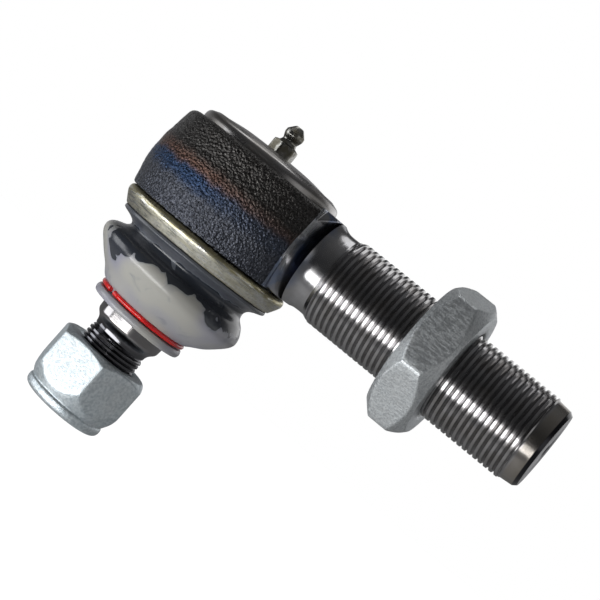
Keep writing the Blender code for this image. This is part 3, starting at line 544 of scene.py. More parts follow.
lip_outline = filleted(
    [
        (25.45, 13.9, 0),
        (25.45, 15.9, 0.9),
        (24.75, 17.1, 0.9),
        (21.9, 18.15, 0.35),
        (21.7, 17.9, 0.15),
        (21.8, 17.2, 0),
        (23.9, 16.2, 0.3),
        (24.1, 13.9, 0),
    ],
    steps=7,
    closed=True,
)
cap_top = [(3.35, 19.4, 0.2), (5.5, 19.4, 0.8), (13.0, 19.15, 2.0), (21.6, 17.95, 0.4), (21.9, 17.0, 0)]
cap_underside = [
    (23.75, 16.0, 0.2),
    (23.75, 14.6, 0.2),
    (21.0, 14.6, 0.5),
    (18.0, 16.2, 1.5),
    (3.35, 17.2, 0),
]
cap_outline = np.vstack(
    [
        mm([(3.35, 17.2)]),
        mm(filleted(cap_top, steps=6)),
        mm(filleted(cap_underside, steps=4)),
    ]
)

bright_finish, tree, shader = new_finish("rolled_steel", Metallic=1.0, Roughness=0.27)
place = object_place(tree)
lines = use_group(tree, turned_lines, Place=place, Along=distance_along(tree), Spacing=0.00030)
cloud = use_group(tree, patches, Place=place, Size=0.012, Low=0.35, High=0.70, Detail=3.0)
rolled_colour = blend_colour(tree, cloud, (0.40, 0.39, 0.385, 1), (0.30, 0.285, 0.27, 1))
tree.links.new(rolled_colour, shader.inputs["Base Color"])
tree.links.new(remap(tree, cloud, 0.0, 1.0, 0.24, 0.36), shader.inputs["Roughness"])
bumped(tree, shader, lines, 0.00001, 0.5)

lip = make_piece("rolled_lip", [turned(mm(lip_outline), around=240)], bright_finish)
fit_in(lip, "housing", "bare_steel", "socket_housing")
cap = make_piece("end_cap_plate", [turned(cap_outline, around=240)], bright_finish)
fit_in(cap, "housing", "bare_steel", "end_cap")

# ---------------------------------------------------------------- grease nipple
# A straight ball-head nipple, turned from hexagon bar: the hexagon, a waist, the head that the grease gun
# snaps over, and a cone with the mouth that the check ball closes. Bright zinc, browned by its passivate.

NIPPLE_FLATS = 8.0
NIPPLE_TURN = math.radians(26.8)


def hexagon(angle, flats, turn, easing):
    """Radius of a hexagon at an angle, with a corner at turn. Its corners are eased by that share."""
    across = (angle - turn) % (math.pi / 3) - math.pi / 6
    sharp = flats / 2 / np.cos(across)
    limit = flats / math.sqrt(3) * (1 - easing)
    return soft_least(sharp, limit + 0 * sharp, flats * 0.006)


def soft_least(first, second, ease):
    """The lesser of two lengths, with a rounded change from one to the other:
    -ease log(e^-a/ease + e^-b/ease)."""
    least = np.minimum(first, second)
    return least - ease * np.log(np.exp(-(first - least) / ease) + np.exp(-(second - least) / ease))


def corner_angles(turn, per_side):
    """Angles round a hexagon, closer together near its corners: each side's run is a sine from end to end."""
    side = np.sin(np.linspace(-1, 1, per_side + 1) * math.pi / 2) * math.pi / 6
    sides = [turn + (k + 0.5) * math.pi / 3 + side[:-1] for k in range(6)]
    return np.concatenate([*sides, [turn + 2 * math.pi]])


nipple_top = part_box("grease_nipple_body")[1].z
nipple_mouth = [
    (3.22, 27.6, 0.2),
    (1.75, 29.35, 0.25),
    (1.25, 29.8, 0.15),
    (0.85, 29.8, 0.08),
    (0.8, 28.0, 0),
]
nipple_outline = np.vstack(
    [
        filleted([(1.0, 14.4, 0), (2.7, 14.4, 0.1), (3.0, 14.8, 0.2), (3.0, 19.45, 0)], steps=2),
        filleted([(5.2, 19.45, 0.15), (5.2, 22.3, 0.2), (4.2, 23.05, 0.2), (3.0, 23.5, 0.3)], steps=4),
        smooth_curve([(3.0, 23.5), (2.62, 24.2), (2.60, 24.8), (2.95, 25.6), (3.22, 26.4), (3.25, 27.0)], 5),
        filleted(nipple_mouth, steps=4),
    ]
)
nipple_outline[:, 1] += nipple_top * 1000 - 29.8
nipple_points, nipple_uv = turned(mm(nipple_outline), angles=corner_angles(NIPPLE_TURN, 14))
nipple_angle = np.arctan2(nipple_points[..., 1], nipple_points[..., 0])
nipple_radius = np.linalg.norm(nipple_points[..., :2], axis=-1)
hex_limit = hexagon(nipple_angle, mm(NIPPLE_FLATS), NIPPLE_TURN, 0.02)
nipple_points[..., :2] *= (np.minimum(nipple_radius, hex_limit) / nipple_radius)[..., None]

nipple_finish, tree, shader = new_finish("browned_zinc", Metallic=1.0, Roughness=0.30)
place = object_place(tree)
cloud = use_group(tree, patches, Place=place, Size=0.0022, Low=0.35, High=0.65, Detail=3.0)
nipple_colour = blend_colour(tree, cloud, (0.34, 0.335, 0.31, 1), (0.19, 0.175, 0.135, 1))
tree.links.new(nipple_colour, shader.inputs["Base Color"])
tree.links.new(remap(tree, cloud, 0.0, 1.0, 0.22, 0.40), shader.inputs["Roughness"])
fine = use_group(tree, patches, Place=place, Size=0.0003, Low=0.2, High=0.8, Detail=2.0)
bumped(tree, shader, fine, 0.00001, 0.4)
nipple = make_piece("grease_nipple", [(nipple_points, nipple_uv)], nipple_finish, crease=28)
fit_in(nipple, "housing", "bare_steel", "grease_nipple_body")

# ---------------------------------------------------------------- boot clamp ring
# A pressed ring that is closed over the boot's rim on the socket's skirt, with a rolled shoulder on top and
# sides that draw in below. Yellow-passivated zinc: golden where it is thick, nearly white where it has
# rubbed off.

ring_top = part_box("boot_clamp_ring")[1].z * 1000
ring_outline = filleted(
    [
        (26.6, ring_top + 0.2, 0.2),
        (28.85, ring_top + 0.28, 0.6),
        (29.62, ring_top - 0.5, 0.7),
        (29.72, ring_top - 1.9, 0.6),
        (29.0, ring_top - 3.3, 0.6),
        (27.5, ring_top - 5.75, 0.3),
        (26.95, ring_top - 5.8, 0.2),
        (27.4, ring_top - 4.3, 0.5),
        (28.3, ring_top - 2.2, 0.8),
        (27.6, ring_top - 0.9, 0.5),
    ],
    steps=6,
    closed=True,
)
ring_points, ring_uv = turned(mm(ring_outline), around=300)
ring_angle = np.arctan2(ring_points[..., 1], ring_points[..., 0])
uneven = 0.00006 * np.sin(3 * ring_angle + 1.0) + 0.00004 * np.sin(7 * ring_angle)
uneven += 0.00003 * lattice_noise(ring_points, 0.0030, 5)
ring_points[..., 2] += uneven
ring_points[..., :2] *= 1 + (uneven / 0.029)[..., None]

ring_finish, tree, shader = new_finish("yellow_zinc", Metallic=1.0, Roughness=0.30)
place = object_place(tree)
split = add_node(tree, "ShaderNodeSeparateXYZ", {0: place}).outputs
stretched = add_node(
    tree, "ShaderNodeVectorMath", {0: place, 1: (0.13, 0.13, 1.0)}, operation="MULTIPLY"
).outputs[0]
streak = use_group(tree, patches, Place=stretched, Size=0.00062, Low=0.36, High=0.62, Detail=3.0)
mottle = use_group(tree, patches, Place=place, Size=0.0008, Low=0.46, High=0.70, Detail=4.0)
rubbed = use_group(tree, patches, Place=stretched, Size=0.0011, Low=0.38, High=0.62, Detail=2.0)
uneven_height = reckon(tree, "MULTIPLY_ADD", streak, 0.0012, split["Z"])
lower = remap(tree, uneven_height, mm(ring_top - 0.4), mm(ring_top - 1.2))
gold = blend_colour(tree, streak, (0.56, 0.50, 0.30, 1), (0.36, 0.33, 0.20, 1))
silver = blend_colour(tree, rubbed, (0.72, 0.72, 0.68, 1), (0.54, 0.535, 0.47, 1))
silver = blend_colour(tree, reckon(tree, "MULTIPLY", streak, 0.35), silver, (0.60, 0.55, 0.34, 1))
ring_colour = blend_colour(tree, lower, gold, silver)
ring_colour = blend_colour(tree, reckon(tree, "MULTIPLY", mottle, 0.45), ring_colour, (0.30, 0.29, 0.24, 1))
edge = remap(tree, split["Z"], mm(ring_top - 5.2), mm(ring_top - 5.7))
ring_colour = blend_colour(tree, reckon(tree, "MULTIPLY", edge, 0.5), ring_colour, (0.42, 0.36, 0.24, 1))
tree.links.new(ring_colour, shader.inputs["Base Color"])
tree.links.new(remap(tree, streak, 0.0, 1.0, 0.26, 0.40), shader.inputs["Roughness"])
bumped(tree, shader, reckon(tree, "ADD", streak, mottle), 0.00002, 0.5)
ring = make_piece("clamp_ring", [(ring_points, ring_uv)], ring_finish)
fit_in(ring, "housing", "yellow_zinc", "boot_clamp_ring")

# ---------------------------------------------------------------- dust boot
# Grey, half-clear rubber, moulded as one bellows: a rim under the clamp ring, a waist, one wide fold and a
# cone down to the lip on the stud. Dark grease clings to it inside, mostly round the fold, and shows through.
# The rim under the ring carries a painted shadow, and the waist carries painted shade as well as grease.

BOOT_WALL = 1.5
lip_foot = ball_centre.z * 1000 - 44.4
boot_side = smooth_curve(
    [
        (27.15, -21.3),
        (26.9, -22.2),
        (24.3, -23.2),
        (22.6, -24.2),
        (22.05, -25.5),
        (22.9, -27.0),
        (25.3, -28.5),
        (26.7, -30.2),
        (27.05, -32.0),
        (26.5, -33.9),
        (24.6, -36.3),
        (22.0, -38.9),
        (19.4, -41.2),
        (16.6, -43.5),
    ],
    6,
)
boot_outline = np.vstack(
    [
        [(24.95, -15.3), (27.9, -15.9), (27.9, -17.6), (26.6, -20.9), (27.0, -21.0)],
        boot_side,
        filleted(
            [
                (15.0, -44.2, 0.3),
                (14.5, lip_foot + 2.9, 0.4),
                (14.5, lip_foot + 2.65, 0.2),
                (16.3, lip_foot + 2.6, 0.5),
                (16.75, lip_foot + 1.3, 0.5),
                (16.3, lip_foot, 0.5),
                (12.9, lip_foot - 0.1, 0.3),
                (12.5, lip_foot + 0.4, 0.3),
                (12.5, lip_foot + 4.0, 0.5),
            ],
            steps=5,
        ),
        np.column_stack([boot_side[:9:-1, 0] - BOOT_WALL, boot_side[:9:-1, 1] + 0.5]),
        [(25.0, -20.9), (24.95, -15.3)],
    ]
)
boot_points, boot_uv = turned(spaced(mm(boot_outline), 0.0006), around=220)


def smooth_share(value, start, end):
    """0 before start, 1 after end, and 3t^2 - 2t^3 between them."""
    t = np.clip((value - start) / (end - start), 0, 1)
    return t * t * (3 - 2 * t)


def leant(points, start, end):
    """Turns points about the ball's centre by a share of the stud's lean that grows from start to end."""
    share = smooth_share(points[..., 2], start, end) * stud_lean
    x, z = points[..., 0] - ball_centre.x, points[..., 2] - ball_centre.z
    turned_x = x * np.cos(share) + z * np.sin(share)
    turned_z = -x * np.sin(share) + z * np.cos(share)
    return np.stack([turned_x + ball_centre.x, points[..., 1], turned_z + ball_centre.z], axis=-1)


boot_angle = np.arctan2(boot_points[..., 1], boot_points[..., 0])
boot_height = boot_points[..., 2]
cone_share = smooth_share(boot_height, -0.030, -0.036) * smooth_share(boot_height, -0.0435, -0.040)
boot_points = leant(boot_points, -0.0240, -0.0300)
boot_points[..., 0] += 0.0011 * cone_share
MOULD_LINE_ANGLE = math.radians(-118)
MOULD_LINE_SPREAD = 0.008
mould_line = np.exp(-(((boot_angle - MOULD_LINE_ANGLE) / MOULD_LINE_SPREAD) ** 2))
mould_line *= smooth_share(boot_points[..., 2], -0.029, -0.032)
waves = 0.00007 * lattice_noise(boot_points, 0.0110, 7) - 0.00006 * mould_line
boot_points[..., :2] *= (1 + waves / 0.022)[..., None]

boot_finish, tree, shader = new_finish(
    "greased_grey_rubber", Roughness=0.30, Coat_Weight=0.35, Coat_Roughness=0.16, Specular_IOR_Level=0.5
)
place = object_place(tree)
split = add_node(tree, "ShaderNodeSeparateXYZ", {0: place}).outputs
smear_look = {"Vector": place, "Scale": 140.0, "Detail": 2.0, "Distortion": 1.1}
smear = add_node(tree, "ShaderNodeTexNoise", smear_look)
drips = add_node(tree, "ShaderNodeTexNoise", {"Vector": place, "Scale": 62.0, "Detail": 1.0})
reach = reckon(tree, "MULTIPLY_ADD", drips.outputs[0], 0.0200, -0.0100)
level = reckon(tree, "ADD", split["Z"], reach)
amount = reckon(
    tree, "MULTIPLY", remap(tree, level, -0.0350, -0.0285), remap(tree, split["Z"], -0.0236, -0.0252)
)
amount = reckon(tree, "MULTIPLY_ADD", amount, 0.44, -0.22)
thickness = reckon(tree, "ADD", smear.outputs[0], amount)
grease = remap(tree, thickness, 0.530, 0.560)
veil = remap(tree, thickness, 0.38, 0.56)
tint = use_group(tree, patches, Place=place, Size=0.016, Low=0.35, High=0.65, Detail=1.0)
rubber = blend_colour(tree, tint, (0.38, 0.375, 0.345, 1), (0.29, 0.29, 0.34, 1))
# Painted shadow: the rubber just under the clamp ring is darkened as the ring's shadow.
painted_rim_shadow = remap(tree, split["Z"], -0.0232, -0.0212)
rubber = blend_colour(tree, reckon(tree, "MULTIPLY", painted_rim_shadow, 0.75), rubber, (0.20, 0.21, 0.22, 1))
# Painted shade and grease: from the waist up to the ring the rubber is darkened to blue-black, both as shade
# under the ring and fold and as grease.
painted_waist_shade = remap(tree, split["Z"], -0.0285, -0.0262)
rubber = blend_colour(tree, reckon(tree, "MULTIPLY", painted_waist_shade, 0.85), rubber, (0.035, 0.042, 0.055, 1))
rubber = blend_colour(tree, reckon(tree, "MULTIPLY", veil, 0.45), rubber, (0.15, 0.17, 0.20, 1))
rubber = blend_colour(tree, reckon(tree, "MULTIPLY", grease, 0.95), rubber, (0.014, 0.018, 0.026, 1))
tree.links.new(rubber, shader.inputs["Base Color"])
tree.links.new(remap(tree, grease, 0.0, 1.0, 0.36, 0.26), shader.inputs["Roughness"])
skin = use_group(tree, patches, Place=place, Size=0.0012, Low=0.2, High=0.8, Detail=3.0)
bumped(tree, shader, skin, 0.00002, 0.5)
boot = make_piece("dust_boot_rubber", [(boot_points, boot_uv)], boot_finish, crease=60)
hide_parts("dust_boot")
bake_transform(boot)

# ---------------------------------------------------------------- boot retaining ring
# An open ring of round spring wire in the groove above the boot's lip, dipped in glossy red.

ring_matrix = along_stud @ Matrix.Rotation(math.radians(-122.0), 4, "Z")
wire_radius = 0.80
wire_height = -44.4 + 2.6 + 0.35 + wire_radius
wire_place = 14.4 + 0.30 + wire_radius
RING_OPENING = math.radians(8.0)
tube_angle = np.linspace(0, 2 * math.pi, 25)
way_round = np.linspace(RING_OPENING / 2, 2 * math.pi - RING_OPENING / 2, 181)
taper = np.ones_like(way_round)
way_round = np.concatenate([way_round[:1], way_round[:1], way_round, way_round[-1:], way_round[-1:]])
taper = np.concatenate([[0.0, 0.86], taper, [0.86, 0.0]])
tube = mm(wire_radius) * taper[:, None]
wire_r = mm(wire_place) + tube * np.cos(tube_angle)
wire_points = np.stack(
    [
        wire_r * np.cos(way_round[:, None]),
        wire_r * np.sin(way_round[:, None]),
        mm(wire_height) + tube * np.sin(tube_angle),
    ],
    axis=-1,
)
wire_uv = np.stack(np.broadcast_arrays(way_round[:, None] * mm(wire_place), tube_angle[None, :]), axis=-1)
red_finish, tree, shader = new_finish("red_dip", Roughness=0.22, Coat_Weight=0.5, Coat_Roughness=0.08)
place = object_place(tree)
cloud = use_group(tree, patches, Place=place, Size=0.004, Low=0.35, High=0.65, Detail=3.0)
red_colour = blend_colour(tree, cloud, (0.70, 0.012, 0.010, 1), (0.50, 0.006, 0.008, 1))
tree.links.new(red_colour, shader.inputs["Base Color"])
bumped(tree, shader, cloud, 0.00002, 0.4)
retaining_ring = make_piece("retaining_ring", [(wire_points, wire_uv)], red_finish, ring_matrix, crease=40)
fit_in(retaining_ring, "boot_lip", "red_plastic", "boot_retaining_ring")

# ---------------------------------------------------------------- ball stud
# Hardened steel, ground all over: the ball, a neck, the 1:8 taper that seats in the steering arm, a relief
# and an M20x1.5 thread. Heights run along its own axis from the ball's centre.

STUD_PITCH = 0.0015
STUD_CREST = 0.00985
STUD_ROOT = 0.00895
STUD_THREAD_TOP = -0.0520
STUD_END = -0.0794
ball_arc = np.linspace(math.asin(10.0 / 17.0), -math.acos(9.75 / 17.0), 48)
stud_body = np.vstack(
    [
        [(0.0, 9.4), (1.4, 10.0)],
        17.0 * np.column_stack([np.cos(ball_arc), np.sin(ball_arc)]),
        filleted(
            [
                (9.75, -14.2, 0.6),
                (9.75, -22.0, 1.2),
                (12.2, -24.6, 1.0),
                (13.0, -26.0, 0.8),
                (11.62, -47.6, 0.4),
                (11.2, -48.4, 0.4),
                (9.9, -49.7, 0.9),
                (9.5, -50.8, 0.4),
                (9.4, -51.7, 0.15),
                (9.0, -52.0, 0),
            ],
            steps=8,
        ),
    ]
)


def stud_limit(height):
    """The thread's blank: it rises from the relief and is chamfered at the stud's end."""
    places = [STUD_END, STUD_END + 0.0012, STUD_THREAD_TOP - 0.0012, STUD_THREAD_TOP]
    return np.interp(height, places, [0.0088, 0.0100, 0.0100, 0.0090])


stud_end = np.array([(0.0088, STUD_END), (0.0084, STUD_END - 0.0001), (0.0, STUD_END - 0.0001)])
stud_finish, tree, shader = new_finish("ground_steel", Metallic=1.0, Roughness=0.13)
place = object_place(tree)
lines = use_group(tree, turned_lines, Place=place, Along=distance_along(tree), Spacing=0.00012, Wander=0.3)
cloud = use_group(tree, patches, Place=place, Size=0.006, Low=0.35, High=0.70, Detail=3.0)
stud_steel = blend_colour(tree, cloud, (0.47, 0.46, 0.47, 1), (0.37, 0.355, 0.35, 1))
threads_dark = remap(tree, add_node(tree, "ShaderNodeSeparateXYZ", {0: place}).outputs["Z"], -0.0515, -0.0535)
stud_steel = blend_colour(tree, threads_dark, stud_steel, (0.16, 0.16, 0.17, 1))
tree.links.new(stud_steel, shader.inputs["Base Color"])
tree.links.new(remap(tree, cloud, 0.0, 1.0, 0.10, 0.20), shader.inputs["Roughness"])
bumped(tree, shader, lines, 0.00001, 0.4)
stud = make_piece(
    "stud",
    [
        turned(mm(stud_body), around=180),
        threaded(STUD_PITCH, STUD_ROOT, STUD_CREST, STUD_END, STUD_THREAD_TOP, stud_limit, around=180),
        turned(stud_end, around=180),
    ],
    stud_finish,
    along_stud,
    crease=50,
)
fit_in(stud, "stud", "bare_steel", "ball_stud")

# ---------------------------------------------------------------- zinc-plated nuts
# Both nuts are cold-formed hexagons in bright zinc. The stud nut is tall, and its collar is crimped over a
# nylon ring, which grips the thread; the jam nut is thin and is chamfered deeply on both faces.


def nut_surface(outline, flats, turn, chamfers, per_side=26, ease=0.12, corner_easing=0.012):
    """(points, uv) of a nut about +Z. Points of the outline outside the hexagon are drawn in to it.
    chamfers(height) is the radius of the cones that cut the corners; the two meet in a rounded edge."""
    angles = corner_angles(turn, per_side)
    points, uv = turned(outline, angles=angles)
    radius = np.linalg.norm(points[..., :2], axis=-1)
    side = hexagon(angles, flats, turn, corner_easing)[None, :] + 0 * radius
    cone = chamfers(points[..., 2])
    outer = soft_least(side, cone, mm(ease))
    limited = np.minimum(radius, outer)
    points[..., :2] *= (limited / radius)[..., None]
    return points, uv


zinc_finish, tree, shader = new_finish("bright_zinc", Metallic=1.0, Roughness=0.36)
place = object_place(tree)
coarse = use_group(tree, patches, Place=place, Size=0.0009, Low=0.30, High=0.70, Detail=4.0)
fine = use_group(tree, patches, Place=place, Size=0.00032, Low=0.25, High=0.75, Detail=3.0)
broad = use_group(tree, patches, Place=place, Size=0.011, Low=0.3, High=0.7, Detail=2.0)
zinc = blend_colour(tree, coarse, (0.76, 0.82, 0.85, 1), (0.52, 0.59, 0.63, 1))
zinc = blend_colour(tree, reckon(tree, "MULTIPLY", broad, 0.30), zinc, (0.58, 0.58, 0.57, 1))
tree.links.new(zinc, shader.inputs["Base Color"])
tree.links.new(remap(tree, fine, 0.0, 1.0, 0.42, 0.58), shader.inputs["Roughness"])
bumped(tree, shader, reckon(tree, "ADD", fine, coarse), 0.000035, 0.8)

# The jam nut's heights run along the shank from its own middle.
JAM_FLATS = 45.5
jam_low, jam_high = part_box("jam_nut")
jam_middle = (jam_low.x + jam_high.x) / 2
jam_half = (jam_high.x - jam_low.x) / 2
JAM_FACE = 21.4
JAM_SLOPE = 0.93
JAM_BORE = 14.93


def jam_cones(height):
    """The chamfer on each face: a cone that starts at the face's edge and widens towards the middle."""
    return mm(JAM_FACE) + (jam_half - np.abs(height)) / JAM_SLOPE


jam_edge = jam_half * 1000
jam_side = [(26.5, h) for h in np.linspace(-jam_edge + 0.01, jam_edge - 0.01, 76)]
jam_face = [
    (JAM_BORE, jam_edge - 1.6),
    (JAM_BORE + 0.9, jam_edge - 0.12),
    (JAM_BORE + 1.1, jam_edge),
    (18.0, jam_edge),
    (JAM_FACE - 0.3, jam_edge),
]
jam_outline = np.vstack(
    [np.multiply(jam_face, (1, -1)), jam_side, jam_face[::-1], [(JAM_BORE, -jam_edge + 1.6)]]
)
jam_turn = math.pi / 2 + math.radians(11.8)
jam_matrix = Matrix.Translation((jam_middle, 0, 0)) @ along_shank @ Matrix.Rotation(jam_turn, 4, "Z")

jam_finish, tree, shader = new_finish("drawn_zinc", Metallic=1.0, Roughness=0.42)
place = object_place(tree)
drawn = add_node(
    tree, "ShaderNodeVectorMath", {0: place, 1: (0.22, 1.0, 1.0)}, operation="MULTIPLY"
).outputs[0]
streak = use_group(tree, patches, Place=drawn, Size=0.00055, Low=0.34, High=0.68, Detail=3.0)
speck = use_group(tree, patches, Place=place, Size=0.0006, Low=0.35, High=0.70, Detail=3.0)
broad = use_group(tree, patches, Place=place, Size=0.012, Low=0.3, High=0.7, Detail=2.0)
zinc = blend_colour(tree, speck, (0.74, 0.77, 0.78, 1), (0.50, 0.53, 0.55, 1))
zinc = blend_colour(tree, reckon(tree, "MULTIPLY", broad, 0.3), zinc, (0.54, 0.55, 0.55, 1))
tree.links.new(zinc, shader.inputs["Base Color"])
tree.links.new(remap(tree, streak, 0.0, 1.0, 0.46, 0.62), shader.inputs["Roughness"])
bumped(tree, shader, reckon(tree, "ADD", streak, speck), 0.000028, 0.8)
jam_surface = nut_surface(mm(jam_outline), mm(JAM_FLATS), 0.0, jam_cones)
jam_nut = make_piece("jam_nut_zinc", [jam_surface], jam_finish, jam_matrix, crease=45)
fit_in(jam_nut, "jam_nut", "bright_zinc", "jam_nut")

# The stud nut's heights run along the stud from the ball's centre.
NUT_FLATS = 30.0
NUT_TOP = -57.4
NUT_HEX_FOOT = -75.5
NUT_FOOT = -79.6
NUT_BORE = 9.93


def nut_cones(height):
    """A 30-degree cone at the bearing face, and a longer one that draws the corners in towards the collar."""
    top = mm(14.3) + (mm(NUT_TOP) - height) * 1.75
    foot = mm(14.0) + 0.58 * np.clip(height - mm(NUT_HEX_FOOT), 0, None)
    return np.where(height < mm(NUT_HEX_FOOT), 1.0, np.minimum(top, foot))


nut_side = [(17.6, h) for h in np.linspace(NUT_TOP - 0.01, NUT_HEX_FOOT + 0.02, 90)]
nut_collar = filleted(
    [
        (13.85, NUT_HEX_FOOT, 0.1),
        (13.6, NUT_HEX_FOOT - 0.5, 0.3),
        (14.1, NUT_HEX_FOOT - 1.1, 0.5),
        (14.1, NUT_FOOT + 1.1, 1.0),
        (12.9, NUT_FOOT, 1.0),
        (11.2, NUT_FOOT, 0.3),
        (10.75, NUT_FOOT + 0.4, 0.3),
        (10.75, NUT_FOOT + 1.0, 0.1),
        (12.6, NUT_FOOT + 1.2, 0.1),
        (12.6, -74.1, 0.1),
        (NUT_BORE, -74.1, 0),
    ],
    steps=6,
)
nut_face = [(NUT_BORE, NUT_TOP - 1.0), (NUT_BORE + 0.9, NUT_TOP), (14.2, NUT_TOP)]
nut_outline = np.vstack([nut_face, nut_side, nut_collar, nut_face[:1]])
NUT_TURN = math.radians(-69.0)
stud_nut_surface = nut_surface(
    mm(nut_outline), mm(NUT_FLATS), NUT_TURN, nut_cones, ease=0.25, corner_easing=0.02
)
stud_nut = make_piece("stud_nut_zinc", [stud_nut_surface], zinc_finish, along_stud, crease=50)
fit_in(stud_nut, "stud_nut", "bright_zinc", "stud_nut")

# ---------------------------------------------------------------- inner pieces
# The moulded seats, the sprung parts and the seals keep their CAD shapes. Each gets the finish of its real
# material, so that it looks right when the joint is drawn apart.


def moulded(name, colour, shade, roughness):
    """Moulded plastic or rubber with a faint cloudy tint and a fine matt skin."""
    material, tree, shader = new_finish(name, Roughness=roughness)
    place = object_place(tree)
    cloud = use_group(tree, patches, Place=place, Size=0.005, Low=0.3, High=0.7, Detail=2.0)
    tree.links.new(blend_colour(tree, cloud, (*colour, 1), (*shade, 1)), shader.inputs["Base Color"])
    fine = use_group(tree, patches, Place=place, Size=0.0005, Low=0.2, High=0.8, Detail=2.0)
    bumped(tree, shader, fine, 0.00002, 0.4)
    return material


def oiled(name, colour, shade, roughness):
    """Dark, oiled spring steel with a cloudy temper colour."""
    material, tree, shader = new_finish(name, Metallic=1.0, Roughness=roughness)
    place = object_place(tree)
    cloud = use_group(tree, patches, Place=place, Size=0.004, Low=0.3, High=0.7, Detail=3.0)
    tree.links.new(blend_colour(tree, cloud, (*colour, 1), (*shade, 1)), shader.inputs["Base Color"])
    sheen = remap(tree, cloud, 0.0, 1.0, roughness - 0.06, roughness + 0.10)
    tree.links.new(sheen, shader.inputs["Roughness"])
    return material


acetal = moulded("acetal", (0.72, 0.70, 0.62), (0.62, 0.60, 0.52), 0.42)
nylon = moulded("white_nylon", (0.78, 0.78, 0.73), (0.68, 0.68, 0.64), 0.38)
seal_rubber = moulded("seal_rubber", (0.020, 0.020, 0.022), (0.012, 0.012, 0.013), 0.55)
spring_steel = oiled("oiled_spring_steel", (0.30, 0.29, 0.28), (0.20, 0.20, 0.22), 0.32)
inner_finishes = {
    "upper_bearing_seat": acetal,
    "lower_bearing_seat": acetal,
    "stud_nut_insert": nylon,
    "cap_seal_ring": seal_rubber,
    "pressure_ring": spring_steel,
    "preload_spring": spring_steel,
    "nipple_check_ball": spring_steel,
    "nipple_spring": spring_steel,
}
for node_name, finish in inner_finishes.items():
    node = frame["nodes"][node_name]
    node.data.materials.clear()
    node.data.materials.append(finish)

# ---------------------------------------------------------------- floor, light and camera
# A pale floor, which lies below every light, a studio round it, and four soft lights: a long low box in
# front, one at the left, one overhead and a weak one behind.

floor_mesh = bpy.data.meshes.new("floor")
FLOOR_DROP = 0.500
floor_height = cad_low.z - FLOOR_DROP
reach = 6.0
floor_mesh.from_pydata(
    [(x * reach, y * reach, floor_height) for x, y in ((-1, -1), (1, -1), (1, 1), (-1, 1))],
    [],
    [(0, 1, 2, 3)],
)
floor = bpy.data.objects.new("floor", floor_mesh)
bpy.context.scene.collection.objects.link(floor)
floor_finish, tree, shader = new_finish("pale_floor", Roughness=0.9)
shader.inputs["Base Color"].default_value = (0.80, 0.80, 0.80, 1)
ray = add_node(tree, "ShaderNodeLightPath").outputs["Is Camera Ray"]
tree.links.new(reckon(tree, "MULTIPLY_ADD", ray, 0.95, 0.05), shader.inputs["Emission Strength"])
shader.inputs["Emission Color"].default_value = (1, 1, 1, 1)
floor_mesh.materials.append(floor_finish)

world = bpy.data.worlds.new("studio")
bpy.context.scene.world = world
world.use_nodes = True
tree = world.node_tree
way = add_node(tree, "ShaderNodeTexCoord").outputs["Generated"]
split = add_node(tree, "ShaderNodeSeparateXYZ", {0: way}).outputs
ramp = add_node(tree, "ShaderNodeValToRGB", {0: remap(tree, split["Z"], -1.0, 1.0, smooth=False)})
room_low = ((0.0, 0.60), (0.15, 0.45), (0.30, 0.20), (0.42, 0.05))
room_high = ((0.55, 0.035), (0.72, 0.05), (0.85, 0.08), (1.0, 0.14))
room = room_low + room_high
for stop in room[1:-1]:
    ramp.color_ramp.elements.new(stop[0])
for element, (where, grey) in zip(ramp.color_ramp.elements, room):
    element.position = where
    element.color = (grey, grey * 1.01, grey * 1.04, 1)
behind = reckon(tree, "MULTIPLY", remap(tree, split["Y"], 0.2, 0.8), remap(tree, split["Z"], 0.45, 0.1))
room_light = blend_colour(tree, behind, ramp.outputs[0], (0.40, 0.40, 0.41, 1))
beside = reckon(tree, "MULTIPLY", remap(tree, split["X"], 0.55, 0.95), remap(tree, split["Z"], 0.5, 0.2))
room_light = blend_colour(tree, beside, room_light, (0.55, 0.55, 0.55, 1))
ray = add_node(tree, "ShaderNodeLightPath").outputs["Is Camera Ray"]
seen = blend_colour(tree, ray, room_light, (1.0, 1.0, 1.0, 1))
tree.links.new(seen, tree.nodes["Background"].inputs["Color"])


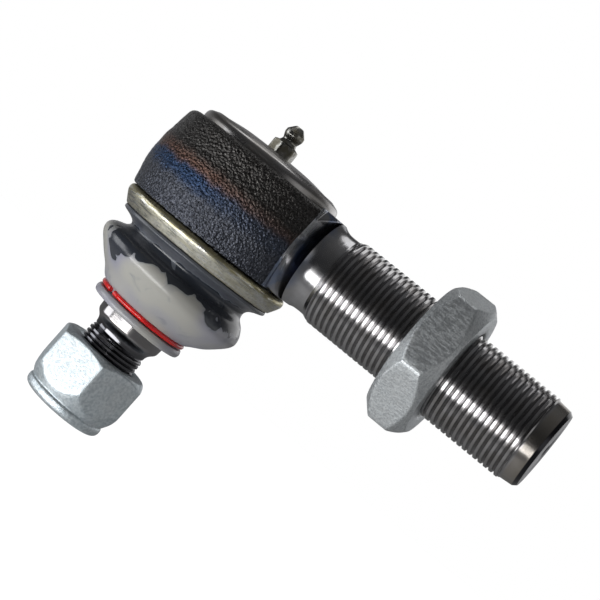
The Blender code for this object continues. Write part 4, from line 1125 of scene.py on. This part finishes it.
def soft_box(name, azimuth, elevation, distance, size, radiance, colour=(1, 1, 1)):
    """A rectangular light that faces the part. Azimuth runs from -Y towards +X, elevation towards +Z. Its
    power is its radiance times pi times its area. The camera doesn't see it."""
    turn, rise = math.radians(azimuth), math.radians(elevation)
    way = Vector((math.sin(turn) * math.cos(rise), -math.cos(turn) * math.cos(rise), math.sin(rise)))
    data = bpy.data.lights.new(name, "AREA")
    data.shape = "RECTANGLE"
    data.size, data.size_y = size
    data.energy = radiance * math.pi * size[0] * size[1]
    data.color = colour
    light = bpy.data.objects.new(name, data)
    light.location = Vector((0.02, 0, -0.01)) + way * distance
    light.rotation_euler = way.to_track_quat("Z", "Y").to_euler()
    light.visible_camera = False
    bpy.context.scene.collection.objects.link(light)
    return light


soft_box("key_box", -22, -28, 0.62, (0.80, 0.24), 6.0)
soft_box("left_box", -78, -8, 0.62, (0.34, 0.34), 2.6, (0.95, 0.97, 1.0))
soft_box("top_box", -140, 62, 0.60, (0.40, 0.30), 1.4)
soft_box("back_box", 160, 20, 0.70, (0.50, 0.40), 0.8)

# The camera stands a long lens's distance away, level with the part and rolled, so that the part hangs askew.
CAMERA_DISTANCE = 0.568
FRAME_SHIFT = (-0.03261, -0.05159)
SHANK_TOWARDS = math.radians(11.9)
SHANK_FALL = math.radians(39.2)
CAP_AWAY = math.radians(-1.55)
view_x = Vector(
    (
        math.cos(SHANK_TOWARDS) * math.cos(SHANK_FALL),
        math.cos(SHANK_TOWARDS) * math.sin(SHANK_FALL),
        -math.sin(SHANK_TOWARDS),
    )
)
across_view = Vector((-math.sin(SHANK_FALL), math.cos(SHANK_FALL), 0))
away = view_x.cross(across_view)
view_z = -across_view * math.cos(CAP_AWAY) + away * math.sin(CAP_AWAY)
view_y = view_z.cross(view_x)
origin_seen = CAMERA_DISTANCE * Vector((*FRAME_SHIFT, 1.0))
to_part = Matrix((view_x, view_y, view_z))
camera_place = -(to_part @ origin_seen)
facing = Matrix([to_part @ Vector(axis) for axis in ((1, 0, 0), (0, -1, 0), (0, 0, -1))]).transposed()
camera_data = bpy.data.cameras.new("camera")
camera_data.lens = 111.3
camera_data.sensor_width = 36.0
camera_data.clip_start = 0.01
camera = bpy.data.objects.new("camera", camera_data)
camera.matrix_world = Matrix.Translation(camera_place) @ facing.to_4x4()
bpy.context.scene.collection.objects.link(camera)
bpy.context.scene.camera = camera
bpy.context.scene.view_settings.view_transform = "Standard"
